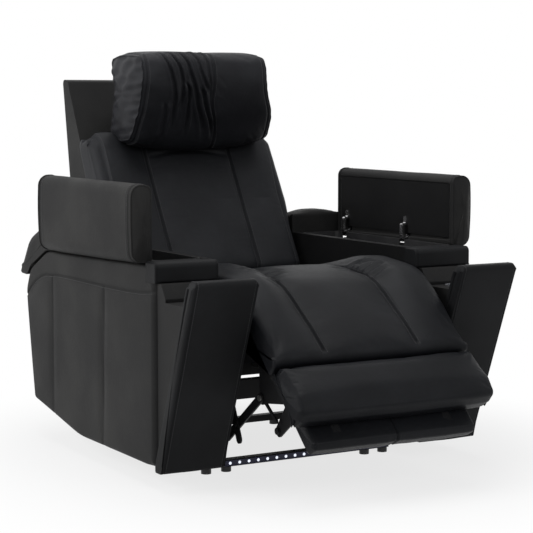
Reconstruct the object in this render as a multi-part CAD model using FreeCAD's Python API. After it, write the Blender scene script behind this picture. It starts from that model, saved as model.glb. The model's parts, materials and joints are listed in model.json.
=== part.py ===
"""Power recliner for a home theatre, in millimetres.

+Z is up, the chair faces -Y, and +X is the sitter's left. The floor is at zero height, and the frame's
origin is on the floor under the middle of the chair, in the pose of the photograph: lids open, footrest
half raised, back a little reclined.
"""
import FreeCAD, Part
import math
import os

V = FreeCAD.Vector
os.makedirs("parts", exist_ok=True)

# Overall sizes
half_width = 500.0
arm_width = 186.0
arm_front_y = -306.0
arm_length = 886.0
arm_bottom_z = 58.0
arm_height = 534.0
overrun = 2.0
seat_gap = 0.3
fillet_room_share = 0.48
bearing_gap = 0.05
plate_gap = 0.5

inner_x = half_width - arm_width

# Arm panels, frame, bin and nose
outer_panel_thickness = 28.0
inner_panel_thickness = 20.0
inner_panel_setback = 59.0
inner_panel_slope = 90.0
inner_panel_radius_shares = [0.03, 0.12, 0.08, 0.03]
panel_edge_radius = 12.0
arm_top_z = arm_bottom_z + arm_height
frame_board_thickness = 18.0
rear_post_drop = 34.0
rear_deck_length = 90.0
panel_shares = [(0.0, 0.0), (0.56, 0.0), (0.935, 0.11), (1.0, 0.72), (0.96, 0.845), (0.81, 0.965), (0.0, 1.0)]
panel_radius_shares = [0.03, 0.9, 0.03, 0.12, 0.12, 0.25, 0.03]
nose_front_y = -314.0
nose_length = 56.0
nose_height = 54.0
nose_radius = 15.0
deck_rise = 5.0
bin_end_room = 286.0
bin_depth = 107.0
bin_wall = 4.0
bin_rim_thickness = 3.0
bin_rim_width = 6.0
bin_radius = 16.0

# Leaning front slab, filler box and cup holder
slab_top_y = -536.0
slab_top_drop = 25.0
slab_bottom_drop = 8.0
slab_lean_run = 194.0
slab_thickness = 42.0
slab_edge_radius = 9.0
slab_corner_radius = 20.0
filler_recess = 10.0
tray_drop = 100.0
fascia_foot_y = -352.0
fascia_foot_rise = 9.0
fascia_head_y = -327.0
fascia_radius = 6.0
cup_y = -400.0
cup_radius = 40.0
cup_wall = 1.0
cup_depth = 58.0
cup_ring_width = 5.0
cup_ring_height = 3.0

# Rear arm pad
rear_pad_setback = 218.0
rear_pad_length = 266.0
rear_pad_drop = 104.0
rear_pad_height = 180.0
rear_pad_shares = [
    (0.0, 0.492), (0.19, 0.479), (0.706, 0.137), (0.762, 0.0), (0.93, 0.01), (1.0, 0.19),
    (0.75, 0.68), (0.29, 1.0), (0.0, 0.985),
]
rear_pad_radius_shares = [0.01, 0.14, 0.12, 0.02, 0.07, 0.17, 0.4, 0.6, 0.07]
rear_pad_crown_shares = [0.0, 0.0, 0.0, 0.4, 1.0, 1.0, 1.0, 1.0, 0.3]
rear_pad_crown = 44.0
pad_arch_power = 2.4

# Arm lid, drawn open
lid_thickness = 54.0
lid_width = 195.0
lid_front_y = -257.0
lid_overlap = 15.0
lid_face_inset = 18.0
lid_foot_drop = 1.0
lid_end_crown = 12.0
lid_arch_power = 9.0
lid_board_thickness = 8.0
lid_board_margin = 20.0
lid_rest_gap = 0.4

# Lid hinge
hinge_front_inset = 237.0
hinge_rear_inset = 58.0
hinge_pin_radius = 2.5
hinge_barrel_radius = 5.0
hinge_ear_radius = 5.5
hinge_ear_thickness = 3.0
hinge_arm_width = 12.0
hinge_arm_thickness = 5.0
hinge_arm_reach = 22.0
hinge_arm_rise = 34.0
hinge_tab_length = 26.0
hinge_pocket_width = 26.0
hinge_base_thickness = 3.0
hinge_skin = 3.0
hinge_notch_radius = 7.5

# Base frame
foot_radius = 14.0
foot_height = 14.0
base_tube_height = 20.0
base_tube_width = 24.0
base_side_gap = 8.0
base_front_y = -200.0
base_rear_y = 340.0
foot_pair_insets = [80.0, 18.0]
strip_thickness = 4.0
strip_height = 15.0
lamp_count = 20
lamp_row_inset = 11.0
lamp_radius = 2.2
lamp_height = 1.2

# Side plates of the mechanism
plate_thickness = 5.0
plate_side_gap = 56.0
lobe_radius = 18.0
washer_thickness = 2.0
rivet_room = 4.0
leg_width = 46.0
front_leg_y = -172.0
rear_leg_y = 250.0
plate_top_z = 428.0
knee_y = -345.0
knee_z = 410.0
knee_width = 26.0
plate_web_z = 335.0
plate_tab_y = 30.0
plate_tab_width = 42.0
plate_foot_thickness = 4.0
cross_rail_thickness = 22.0
cross_rail_wall = 3.0
front_cross_y = -150.0
front_cross_z = 187.0
cross_rail_height = 55.0
rear_cross_y = 40.0
rear_cross_z = 217.0
rear_cross_height = 68.0
arm_bracket_height = 40.0
arm_bracket_z = 345.0
arm_bracket_width = 40.0
arm_bracket_ys = [20.0, 200.0]

# Seat box, webbing and seat cushion
seat_box_front_y = -332.0
seat_box_rear_y = 262.0
seat_board_thickness = 22.0
seat_box_top_z = 430.0
seat_side_height = 60.0
seat_front_height = 110.0
webbing_thickness = 2.0
webbing_width = 50.0
webbing_count = 5
seat_side_gap = 14.0
seat_cushion_height = 140.0
seat_cushion_length = 610.0
seat_shares = [(0.0, 0.0), (0.0, 0.41), (0.749, 1.0), (1.0, 0.54), (0.984, 0.0)]
seat_radius_shares = [0.016, 0.04, 0.36, 0.03, 0.013]
seat_crown_shares = [0.0, 1.0, 0.8, 0.2, 0.0]
seat_crown = 26.0
seam_share = 0.483
seam_half_share = 0.022
seam_depth = 9.0
panel_end_shares = [0.88, 0.965]
panel_end_drops_shares = [0.08, 0.34]
arch_shares = [0.4, 0.76, 0.9, 0.97, 1.0]
tube_notch_gap = 1.5

# Footrest: its own frame starts at the pivot, a along the board, b square to it
footrest_pivot_y = -365.0
footrest_pivot_z = 465.0
footrest_angle = 44.7
footrest_stow_angle = 59.0
footrest_raise_angle = 34.0
footrest_board_offset = 19.0
footrest_board_thickness = 12.0
footrest_side_gap = 17.0
footrest_board_margin = 9.0
calf_pad_start = 14.0
calf_pad_length = 218.0
calf_pad_height = 49.0
calf_lip_share = 0.2
calf_lip_drop_share = 0.24
calf_shares = [
    (calf_lip_share, 0.0), (calf_lip_share, -calf_lip_drop_share), (0.03, -calf_lip_drop_share), (0.0, 0.1),
    (0.92, 1.0), (1.0, 0.67), (1.0, 0.0),
]
calf_radius_shares = [0.0, 0.0, 0.02, 0.02, 0.07, 0.04, 0.0]
calf_crown_shares = [0.0, 0.0, 0.0, 1.0, 1.0, 0.0, 0.0]
calf_crown = 12.0
foot_pad_gap = 2.0
foot_pad_length = 166.0
foot_lip_share = 0.82
foot_lip_drop_share = 0.2
foot_pad_height = 69.0
foot_shares = [
    (0.0, 0.0), (0.0, 0.53), (0.07, 0.74), (0.69, 1.0), (0.98, 0.88), (1.0, 0.32), (0.94, -foot_lip_drop_share),
    (foot_lip_share, -foot_lip_drop_share), (foot_lip_share, 0.0),
]
foot_radius_shares = [0.0, 0.04, 0.07, 0.3, 0.14, 0.12, 0.03, 0.0, 0.0]
foot_crown_shares = [0.0, 0.3, 1.0, 1.0, 1.0, 0.6, 0.0, 0.0, 0.0]
foot_crown = 12.0

# Footrest brackets and links
link_width = 24.0
link_pin_radius = 5.0
rivet_head_radius = 8.0
rivet_head_height = 3.0
drive_pivot_y = -248.0
drive_pivot_z = 377.0
bracket_pivot_a = 221.0
bracket_pivot_b = -84.0
drive_link_tail = 40.0
lift_link_tail = 73.0
bracket_flange_width = 22.0
bracket_flange_thickness = 3.0
bracket_length = 300.0
bracket_neck_share = 0.6
link_play = 0.3
stay_width = 8.0
stay_run_a = 86.0
stay_run_b = 14.0
torque_tube_radius = 11.0
torque_tube_wall = 2.0

# Foot extension, which slides along the footrest board
extension_start = 262.0
extension_end = 438.0
extension_top = -15.0
extension_thickness = 55.0
extension_board_thickness = 9.0
extension_margin = 49.0
extension_nose_radius = 24.0
extension_crown = 8.0
slide_rail_inset = 78.0
slide_rail_width = 30.0
slide_rail_height = 20.0
slide_start = 160.0
runner_width = 20.0
runner_wall = 3.0
runner_gap = 0.5
extension_bracket_start = 290.0
extension_bracket_length = 53.0
extension_bracket_thickness = 5.0
extension_foot_drop = 100.0
knob_radius = 9.0
knob_length = 8.0

# Footrest drive
crank_radius = 60.0
crank_width = 20.0
crank_thickness = 8.0
crank_pin_radius = 5.0
crank_pin_overhang = 1.0
crank_lift_share = 0.69
slot_lag = 1.0
slot_end_share = 0.5
yoke_clearance = 1.7
yoke_x = 5.0
yoke_thickness = 5.0
yoke_height = 40.0
yoke_nose = 6.0
rail_width = 30.0
rail_height = 20.0
rail_front_y = -232.0
carriage_side = 3.0
carriage_length = 50.0
carriage_height = 40.0
carriage_setback = 62.0
gearbox_length = 40.0
gearbox_height = 46.0
gearbox_radius = 6.0
motor_radius = 20.0
motor_length = 90.0

# Back: its own frame starts at the foot of the front wall, u up the wall, n to the rear
back_pivot_y = 300.0
back_pivot_z = 380.0
back_recline_angle = 30.0
back_forward_angle = 4.0
wall_foot_y = 399.0
wall_foot_z = 480.0
wall_angle = 63.76
wall_thickness = 16.0
shell_side_gap = 8.0
shell_foot_z = 186.0
shell_top_depth = 39.0
shell_height = 893.0
shell_shares = [
    (1.0, 1.0), (0.86, 0.676), (0.735, 0.396), (0.549, 0.0), (0.484, 0.0),
    (0.227, 0.234),
]
shell_radius_shares = [0.01, 0.01, 0.015, 0.45, 0.35, 0.012, 0.006, 0.07]
shell_room_shares = [0.0, 0.0, 0.0, 0.45, 0.35, 0.0, 0.0, 0.0]
wall_drop = 10.0
wall_top_drop = 8.8
ear_slot_height = 45.0
ear_slot_gap = 1.0
back_cushion_length = 447.0
back_cushion_depth = 135.0
back_shares = [(0.0, 0.0), (1.0, 0.0), (0.923, -0.632), (-0.081, -1.0), (-0.128, -0.724)]
back_radius_shares = [0.01, 0.05, 0.09, 0.09, 0.05]
back_crown_shares = [0.0, 0.6, 1.0, 0.6, 0.3]
back_side_gap = 11.0
back_crown = 22.0
upright_width = 22.0
upright_depth = 30.0
upright_drop = 108.0
upright_inset = 66.0
back_rail_shares = [0.3, 0.96]
ear_band = 26.0
back_ear_thickness = 5.0
back_ear_radius = 22.0
back_tube_radius = 14.0
back_tube_run = 72.0
back_tube_rise = 22.0

# Back actuator
back_lever_height = 93.0
lever_width = 24.0
slot_run = 7.0
back_lever_thickness = 6.0
back_actuator_x = 100.0
actuator_tube_radius = 14.0
actuator_tube_length = 123.0
rod_radius = 8.0
rod_pin_radius = 5.0
slot_clearance = 0.5
fork_thickness = 5.0
fork_width = 22.0
fork_gap = 0.4
rod_overlap = 66.0

# Headrest
headrest_u = 474.0
headrest_n = -24.0
headrest_margin = 75.0
headrest_length = 240.0
headrest_height = 262.0
headrest_y = 332.0
headrest_z = 882.0
headrest_shares = [
    (0.04, 0.96), (0.0, 0.64), (0.40, 0.0), (0.975, 0.075), (0.825, 0.687), (0.9, 1.0), (0.5, 1.03),
]
headrest_radius_shares = [0.12, 0.3, 0.09, 0.09, 0.15, 0.09, 0.6]
headrest_crown_shares = [1.0, 1.0, 0.5, 0.0, 0.0, 0.5, 1.0]
headrest_crown = 16.0
headrest_board_n = -50.0
headrest_board_drop = 20.0
headrest_board_length = 130.0
headrest_board_thickness = 12.0
headrest_board_margin = 58.0
headrest_arm_inset = 52.0
headrest_arm_thickness = 5.0
headrest_ear_radius = 12.0
headrest_pin_radius = 4.0

# Control box and control panel
control_box_length = 120.0
control_box_width = 60.0
control_box_height = 34.0
inlet_radius = 7.0
inlet_length = 12.0
inlet_bore = 4.0
panel_y = -286.0
panel_length = 104.0
panel_drop = 49.0
panel_height = 30.0
panel_thickness = 4.0
panel_depth_in_wall = 12.0
button_count = 4
panel_corner_share = 0.25
button_radius = 6.5
button_length = 9.0
button_proud = 1.5
button_travel = 1.2
button_clearance = 0.15


def rounded_outline(points, radii):
    """Edges of a closed outline in the plane, each corner rounded by a tangent arc of its radius.

    Each entry is ("line", start, end) or ("arc", start, middle, end).
    """
    count = len(points)
    cuts = []
    for i in range(count):
        before, corner, after = points[i - 1], points[i], points[(i + 1) % count]
        back = (before[0] - corner[0], before[1] - corner[1])
        ahead = (after[0] - corner[0], after[1] - corner[1])
        back_length, ahead_length = math.hypot(*back), math.hypot(*ahead)
        back = (back[0] / back_length, back[1] / back_length)
        ahead = (ahead[0] / ahead_length, ahead[1] / ahead_length)
        half = math.acos(max(-1.0, min(1.0, back[0] * ahead[0] + back[1] * ahead[1]))) / 2
        room = min(back_length, ahead_length) * fillet_room_share
        radius = min(radii[i], room * math.tan(half))
        if radius <= 0:
            cuts.append((corner, None, corner))
            continue
        reach = radius / math.tan(half)
        start = (corner[0] + back[0] * reach, corner[1] + back[1] * reach)
        end = (corner[0] + ahead[0] * reach, corner[1] + ahead[1] * reach)
        middle_line = (back[0] + ahead[0], back[1] + ahead[1])
        scale = (radius / math.sin(half) - radius) / math.hypot(*middle_line)
        middle = (corner[0] + middle_line[0] * scale, corner[1] + middle_line[1] * scale)
        cuts.append((start, middle, end))
    edges = []
    for i in range(count):
        start, middle, end = cuts[i]
        if middle:
            edges.append(("arc", start, middle, end))
        following = cuts[(i + 1) % count][0]
        edges.append(("line", end, following))
    return edges


def wire(points, radii, place):
    """A closed wire: place turns each point of the plane into a point in space."""
    made = []
    for edge in rounded_outline(points, radii):
        spots = [place(p) for p in edge[1:]]
        if edge[0] == "arc":
            made.append(Part.Arc(*spots).toShape())
        else:
            made.append(Part.LineSegment(*spots).toShape())
    return Part.Wire(made)


def side_prism(points, radii, x0, x1):
    """A plate whose outline is seen from the side, from x0 to x1."""
    face = Part.Face(wire(points, radii, lambda p: V(x0, p[0], p[1])))
    return face.extrude(V(x1 - x0, 0, 0))


def front_prism(points, radii, y0, y1):
    """A plate whose outline is seen from the front, from y0 to y1."""
    face = Part.Face(wire(points, radii, lambda p: V(p[0], y0, p[1])))
    return face.extrude(V(0, y1 - y0, 0))


def top_prism(points, radii, z0, z1):
    """A plate whose outline is seen from above, from z0 to z1."""
    face = Part.Face(wire(points, radii, lambda p: V(p[0], p[1], z0)))
    return face.extrude(V(0, 0, z1 - z0))


def box(x0, x1, y0, y1, z0, z1):
    """A block between two corners."""
    return Part.makeBox(x1 - x0, y1 - y0, z1 - z0, V(x0, y0, z0))


def rod_x(x0, x1, y, z, radius):
    """A round bar along X."""
    return Part.makeCylinder(radius, x1 - x0, V(x0, y, z), V(1, 0, 0))


def spread(shares, start, size):
    """Outline points from shares of a size, counted from a start point."""
    return [(start[0] + a * size[0], start[1] + b * size[1]) for a, b in shares]


def scaled(shares, size):
    """Lengths from shares of one size."""
    return [share * size for share in shares]


def inset(points, distances):
    """The outline with each side moved inwards by its distance; side i runs from point i to the next."""
    count = len(points)
    area = sum(
        points[i][0] * points[(i + 1) % count][1] - points[(i + 1) % count][0] * points[i][1]
        for i in range(count)
    )
    turn = math.copysign(1, area)
    lines = []
    for i in range(count):
        p, q = points[i], points[(i + 1) % count]
        run = (q[0] - p[0], q[1] - p[1])
        length = math.hypot(*run)
        normal = (-run[1] / length * turn, run[0] / length * turn)
        shift = distances[i]
        lines.append(((p[0] + normal[0] * shift, p[1] + normal[1] * shift), run))
    moved = []
    for i in range(count):
        (p, r), (q, s) = lines[i - 1], lines[i]
        cross = r[0] * s[1] - r[1] * s[0]
        along = ((q[0] - p[0]) * s[1] - (q[1] - p[1]) * s[0]) / cross
        moved.append((p[0] + r[0] * along, p[1] + r[1] * along))
    return moved


def crowned_pad(points, radii, weights, x_centre, half, crown, stations, place):
    """A cushion lofted across X: at each station the weighted sides are drawn in by a share of the crown."""
    sections = []
    for share, drop in stations:
        drawn = inset(points, [weight * drop * crown for weight in weights])
        x = x_centre + share * half
        sections.append(wire(drawn, radii, lambda p, x=x: place(x, p)))
    return Part.makeLoft(sections, True, True)


def plain(x, p):
    """A point of a side outline at x."""
    return V(x, p[0], p[1])


def arch_stations(power):
    """Stations of a plain crown: the drop follows a superellipse across the piece."""
    drops = [(share, 1 - (1 - share ** power) ** (1 / power)) for share in arch_shares]
    return [(-share, drop) for share, drop in reversed(drops)] + drops


def panel_stations(crown):
    """Stations of a cushion in three panels, pinched at its two seams."""
    pinch = seam_depth / crown
    half = [
        (seam_share - seam_half_share, 0.0), (seam_share, pinch), (seam_share + seam_half_share, 0.0),
        (panel_end_shares[0], panel_end_drops_shares[0]), (panel_end_shares[1], panel_end_drops_shares[1]),
        (1.0, 1.0),
    ]
    left = [(-share, drop) for share, drop in reversed(half)]
    return left + half


def save(name, shape):
    """Write one sub-part under its node name."""
    shape.exportStep(os.path.join("parts", name + ".step"))


def save_pair(name, shape):
    """Write a part on the sitter's left, and its mirror image on the right."""
    save(name + "_left", shape)
    save(name + "_right", shape.mirror(V(0, 0, 0), V(1, 0, 0)))


def both_sides(shape):
    """A part with its mirror image, as one group of solids."""
    return Part.makeCompound([shape, shape.mirror(V(0, 0, 0), V(1, 0, 0))])


def fused(shapes):
    """Several pieces that are welded or glued into one solid."""
    return shapes[0].fuse(shapes[1:]).removeSplitter()


def on_footrest(a, b):
    """Side-view point of the footrest's own frame."""
    turn = math.radians(footrest_angle)
    y = footrest_pivot_y - a * math.cos(turn) - b * math.sin(turn)
    z = footrest_pivot_z - a * math.sin(turn) + b * math.cos(turn)
    return (y, z)


def on_back(u, n):
    """Side-view point of the back's own frame: u up the front wall, n to the rear of its front face."""
    turn = math.radians(wall_angle)
    y = wall_foot_y + u * math.cos(turn) + n * math.sin(turn)
    z = wall_foot_z + u * math.sin(turn) - n * math.cos(turn)
    return (y, z)


def bar(start, end, width, x0, x1):
    """A flat link with round ends from one side-view point to another."""
    run = (end[0] - start[0], end[1] - start[1])
    length = math.hypot(*run)
    across = (-run[1] / length * width / 2, run[0] / length * width / 2)
    corners = [
        (start[0] + across[0], start[1] + across[1]), (end[0] + across[0], end[1] + across[1]),
        (end[0] - across[0], end[1] - across[1]), (start[0] - across[0], start[1] - across[1]),
    ]
    body = side_prism(corners, [0, 0, 0, 0], x0, x1)
    ends = [rod_x(x0, x1, p[0], p[1], width / 2) for p in (start, end)]
    return fused([body] + ends)


def rivet(x0, x1, y, z, radius):
    """A headed pin along X that holds plates between its heads."""
    shank = rod_x(x0, x1, y, z, radius)
    head = rod_x(x0 - rivet_head_height, x0, y, z, rivet_head_radius)
    tail = rod_x(x1, x1 + rivet_head_height, y, z, rivet_head_radius)
    return fused([shank, head, tail])


def panel_points():
    """Side outline of the arm's outer panel."""
    return spread(panel_shares, (arm_front_y, arm_bottom_z), (arm_length, arm_height))


def slab_rear_y(z):
    """Where the rear face of the leaning slab is at a height."""
    lean = slab_lean_run / (slab_top_z - slab_bottom_z)
    return slab_top_y + (slab_top_z - z) * lean + slab_thickness


def slab_rear_z(y):
    """At which height the rear face of the slab reaches y."""
    lean = slab_lean_run / (slab_top_z - slab_bottom_z)
    return slab_top_z - (y - slab_thickness - slab_top_y) / lean


# Places that follow from the sizes above
arm_rear_y = arm_front_y + arm_length
inner_panel_length = arm_length - inner_panel_setback
deck_z = arm_top_z + deck_rise
bin_length = arm_length - bin_end_room
slab_top_z = arm_top_z - slab_top_drop
slab_bottom_z = arm_bottom_z - slab_bottom_drop
tray_z = deck_z - tray_drop
fascia_foot_z = tray_z + fascia_foot_rise
rear_pad_y = arm_rear_y - rear_pad_setback
rear_pad_z = arm_top_z - rear_pad_drop
lid_length = bin_length + lid_overlap
hinge_ys = [lid_front_y + hinge_front_inset, lid_front_y + lid_length - hinge_rear_inset]
lid_face_x = half_width - lid_face_inset
lid_foot_z = deck_z - lid_foot_drop
panel_z = deck_z - panel_drop
base_rail_x = inner_x - base_side_gap
foot_pair_xs = [base_rail_x - distance for distance in foot_pair_insets]
lamp_pitch = 2 * (base_rail_x - lamp_row_inset) / lamp_count
plate_x = inner_x - plate_side_gap
seat_half_width = inner_x - seat_side_gap
footrest_half_width = inner_x - footrest_side_gap
footrest_board_half_width = footrest_half_width - footrest_board_margin
extension_half_width = footrest_half_width - extension_margin
slide_rail_x = extension_half_width - slide_rail_inset
shell_half_width = inner_x - shell_side_gap
wall_top_z = shell_foot_z + shell_height - wall_top_drop
wall_length = (wall_top_z - wall_foot_z) / math.sin(math.radians(wall_angle))
shell_length = (wall_length + wall_drop) * math.cos(math.radians(wall_angle)) + shell_top_depth
back_half_width = inner_x - back_side_gap
upright_length = wall_length - upright_drop
upright_x = shell_half_width - upright_inset
headrest_half_width = back_half_width - headrest_margin
headrest_board_half_width = headrest_half_width - headrest_board_margin
headrest_arm_x = headrest_board_half_width - headrest_arm_inset
outer_panel_x = half_width - outer_panel_thickness
inner_panel_x = inner_x + inner_panel_thickness
arm_centre_x = inner_x + arm_width / 2
nose_rear_y = nose_front_y + nose_length
nose_z = deck_z - nose_height
slab_joint_y = arm_front_y - plate_gap
lid_closed_z = deck_z + lid_rest_gap
hinge_x = (half_width + lid_foot_z + lid_face_x - lid_closed_z) / 2
hinge_z = half_width + lid_foot_z - hinge_x
hinge_floor_z = hinge_z - hinge_arm_reach - hinge_arm_thickness - hinge_base_thickness
bin_front_y = nose_rear_y + plate_gap
bin_floor_z = deck_z - bin_depth
footrest_pivot = (footrest_pivot_y, footrest_pivot_z)
drive_pivot = (drive_pivot_y, drive_pivot_z)
bracket_pivot = on_footrest(bracket_pivot_a, bracket_pivot_b)
link_run = (bracket_pivot[0] - footrest_pivot[0], bracket_pivot[1] - footrest_pivot[1])
open_pivot = (drive_pivot[0] + link_run[0], drive_pivot[1] + link_run[1])
plate_outer_x = plate_x + plate_thickness
bracket_x = plate_outer_x + washer_thickness
lift_x = bracket_x + plate_thickness + washer_thickness
swing_x = lift_x + plate_thickness + washer_thickness
board_top_b = footrest_board_offset + footrest_board_thickness
footrest_board_start = calf_pad_start + calf_lip_share * calf_pad_length + seat_gap
foot_pad_start = calf_pad_start + calf_pad_length + foot_pad_gap
board_end = foot_pad_start + foot_lip_share * foot_pad_length - seat_gap
base_top_z = foot_height + base_tube_height
rail_z = front_cross_z + cross_rail_height
rail_top_z = rail_z + rail_height
crank_rest = (footrest_stow_angle - footrest_raise_angle) / 2
crank_pin_y = drive_pivot_y - crank_radius * math.sin(math.radians(crank_rest))
crank_pin_z = drive_pivot_z - crank_radius * math.cos(math.radians(crank_rest))
slot_centre_y = crank_pin_y + slot_lag
back_lever_rest = (back_recline_angle - back_forward_angle) / 2
rod_pin_y = back_pivot_y + back_lever_height * math.tan(math.radians(back_lever_rest))
rod_pin_z = back_pivot_z - back_lever_height
back_tube = (back_pivot_y + back_tube_run, back_pivot_z + back_tube_rise)
ear_x = plate_x - washer_thickness - back_ear_thickness
seat_floor_z = seat_box_top_z + webbing_thickness + seat_gap


def hinge_pocket(y):
    """Room in the arm's top for one lid hinge, open to the inside for the swing of its arm."""
    reach = hinge_arm_rise + hinge_arm_thickness + hinge_ear_radius
    y0, y1 = y - hinge_pocket_width / 2, y + hinge_pocket_width / 2
    skin_x = half_width - hinge_skin
    return box(hinge_x - reach, skin_x, y0, y1, hinge_floor_z, hinge_z + hinge_arm_reach)


def arm_nose():
    """Small upholstered block across the front of the arm's top."""
    points = [(nose_front_y, nose_z), (nose_front_y, deck_z), (nose_rear_y, deck_z), (nose_rear_y, nose_z)]
    return side_prism(points, [nose_radius / 3, nose_radius, 0, 0], inner_x, half_width)


def arm_outer_panel():
    """Upholstered side of the arm with a soft outer edge and pockets for the hinges."""
    points = panel_points()
    panel = side_prism(points, scaled(panel_radius_shares, arm_height), outer_panel_x, half_width)
    rim = [e for e in panel.Edges if min(v.X for v in e.Vertexes) > half_width - plate_gap]
    panel = panel.makeFillet(panel_edge_radius, rim)
    corner = box(inner_x, half_width + overrun, arm_front_y - overrun, nose_rear_y, nose_z, arm_top_z + overrun)
    return panel.cut([corner] + [hinge_pocket(y) for y in hinge_ys])


def arm_inner_panel():
    """Inner side of the arm, level with the bin's rim."""
    y0, y1 = arm_front_y, arm_front_y + inner_panel_length
    points = [(y0, arm_bottom_z), (y1 - inner_panel_slope, arm_bottom_z), (y1, deck_z), (y0, deck_z)]
    panel = side_prism(points, scaled(inner_panel_radius_shares, arm_height), inner_x, inner_panel_x)
    corner = box(inner_x - overrun, half_width, y0 - overrun, nose_rear_y, nose_z, deck_z + overrun)
    return panel.cut(corner)


def arm_frame():
    """Inner side and glued boards: floor, front post, bin shelf, rear post and rear deck."""
    board = frame_board_thickness
    x0, x1 = inner_panel_x - overrun, outer_panel_x
    y0 = slab_joint_y + 2 * plate_gap
    post_y = bin_front_y + bin_length + plate_gap
    rear_top = arm_top_z - rear_post_drop
    low = arm_bottom_z + board
    pieces = [
        arm_inner_panel(), box(x0, x1, y0, post_y + board, low, low + board),
        box(x0, x1, y0, y0 + board, low, nose_z),
        box(x0, x1, y0, post_y + board, bin_floor_z - board, bin_floor_z),
        box(x0, x1, post_y, post_y + board, low, rear_top),
        box(x0, x1, post_y, post_y + rear_deck_length, rear_top - board, rear_top),
    ]
    return fused(pieces)


def storage_bin():
    """Open tray under the lid, with a rim and notches for the hinge arms."""
    x0, x1 = inner_panel_x + plate_gap, outer_panel_x - plate_gap
    y0, y1 = bin_front_y, bin_front_y + bin_length
    corners = [(x0, y0), (x1, y0), (x1, y1), (x0, y1)]
    radii = [bin_radius] * len(corners)
    tub = top_prism(corners, radii, bin_floor_z, deck_z)
    rim_x0, rim_x1 = x0, x1 + bin_rim_width
    rim_corners = [(rim_x0, y0), (rim_x1, y0), (rim_x1, y1), (rim_x0, y1)]
    rim = top_prism(rim_corners, radii, deck_z - bin_rim_thickness, deck_z)
    inner = [
        (x0 + bin_wall, y0 + bin_wall), (x1 - bin_wall, y0 + bin_wall), (x1 - bin_wall, y1 - bin_wall),
        (x0 + bin_wall, y1 - bin_wall),
    ]
    hollow = top_prism(inner, [bin_radius - bin_wall] * len(inner), bin_floor_z + bin_wall, deck_z + overrun)
    return fused([tub, rim]).cut([hollow] + [hinge_pocket(y) for y in hinge_ys])


def arm_filler():
    """Box between the arm and the leaning slab; its top is the tray that carries the cup holder."""
    points = [
        (slab_joint_y, slab_rear_z(slab_joint_y) + plate_gap), (slab_joint_y, nose_z),
        (fascia_head_y, nose_z), (fascia_foot_y, fascia_foot_z), (fascia_foot_y, tray_z),
        (slab_rear_y(tray_z), tray_z),
    ]
    radii = [0, 0, fascia_radius, fascia_radius, 0, 0]
    body = side_prism(points, radii, inner_x + filler_recess, half_width - filler_recess)
    depth = cup_depth + plate_gap
    hole = Part.makeCylinder(cup_radius + cup_wall, depth + overrun, V(arm_centre_x, cup_y, tray_z - depth))
    return body.cut(hole)


def cup_liner():
    """Metal cup with a flat ring that rests on the tray."""
    profile = [
        (0, -cup_depth), (cup_radius + cup_wall, -cup_depth), (cup_radius + cup_wall, 0),
        (cup_radius + cup_ring_width, 0), (cup_radius + cup_ring_width, cup_ring_height),
        (cup_radius, cup_ring_height), (cup_radius, cup_wall - cup_depth), (0, cup_wall - cup_depth),
    ]
    radii = [0] * len(profile)
    outline = wire(profile, radii, lambda p: V(arm_centre_x + p[0], cup_y, tray_z + p[1]))
    return Part.Face(outline).revolve(V(arm_centre_x, cup_y, 0), V(0, 0, 1), 360)


def front_slab():
    """Leaning slab at the front of the arm, with rounded top corners."""
    points = [
        (slab_top_y, slab_top_z), (slab_top_y + slab_thickness, slab_top_z),
        (slab_joint_y, slab_rear_z(slab_joint_y)), (slab_joint_y, slab_bottom_z),
        (slab_top_y + slab_lean_run, slab_bottom_z),
    ]
    edge = slab_edge_radius
    body = side_prism(points, [edge, edge, 0, edge / 3, edge], inner_x, half_width)
    front = [(inner_x, slab_bottom_z), (half_width, slab_bottom_z), (half_width, slab_top_z), (inner_x, slab_top_z)]
    foot = slab_corner_radius / 4
    radii = [foot, foot, slab_corner_radius, slab_corner_radius]
    return body.common(front_prism(front, radii, slab_top_y - overrun, arm_front_y))


def rear_arm_pad():
    """Thick pad over the rear of the arm that rolls down over the panel's rear corner."""
    size = (rear_pad_length, rear_pad_height)
    points = spread(rear_pad_shares, (rear_pad_y, rear_pad_z), size)
    radii = scaled(rear_pad_radius_shares, rear_pad_length)
    half = arm_width / 2
    pad = crowned_pad(points, radii, rear_pad_crown_shares, arm_centre_x, half, rear_pad_crown,
                      arch_stations(pad_arch_power), plain)
    seat_shape = side_prism(panel_points(), scaled(panel_radius_shares, arm_height), inner_x - overrun,
                            half_width + overrun)
    inner = box(inner_x - overrun, inner_panel_x, arm_front_y, arm_front_y + inner_panel_length, arm_bottom_z,
                deck_z)
    return pad.cut([seat_shape, inner])


def lid_notch(y):
    """Room in the lid for one hinge through its whole swing."""
    y0, width = y - hinge_pocket_width / 2, hinge_pocket_width
    room = hinge_notch_radius
    turn = Part.makeCylinder(room, width, V(hinge_x, y0, hinge_z), V(0, 1, 0))
    low_x, low_z = lid_face_x - overrun, lid_foot_z - overrun
    foot = box(low_x, hinge_x + room, y0, y0 + width, low_z, hinge_z)
    face = box(low_x, hinge_x, y0, y0 + width, low_z, hinge_z + room)
    return turn.fuse([foot, face])


def lid_board_box(grow):
    """The board under the lid's cushion, grown by a clearance."""
    x0, x1 = lid_face_x, lid_face_x + lid_board_thickness + grow
    y0, y1 = lid_front_y + lid_board_margin - grow, lid_front_y + lid_length - lid_board_margin + grow
    z0, z1 = lid_foot_z + lid_board_margin - grow, lid_foot_z + lid_width - lid_board_margin + grow
    return box(x0 - grow, x1, y0, y1, z0, z1)


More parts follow.
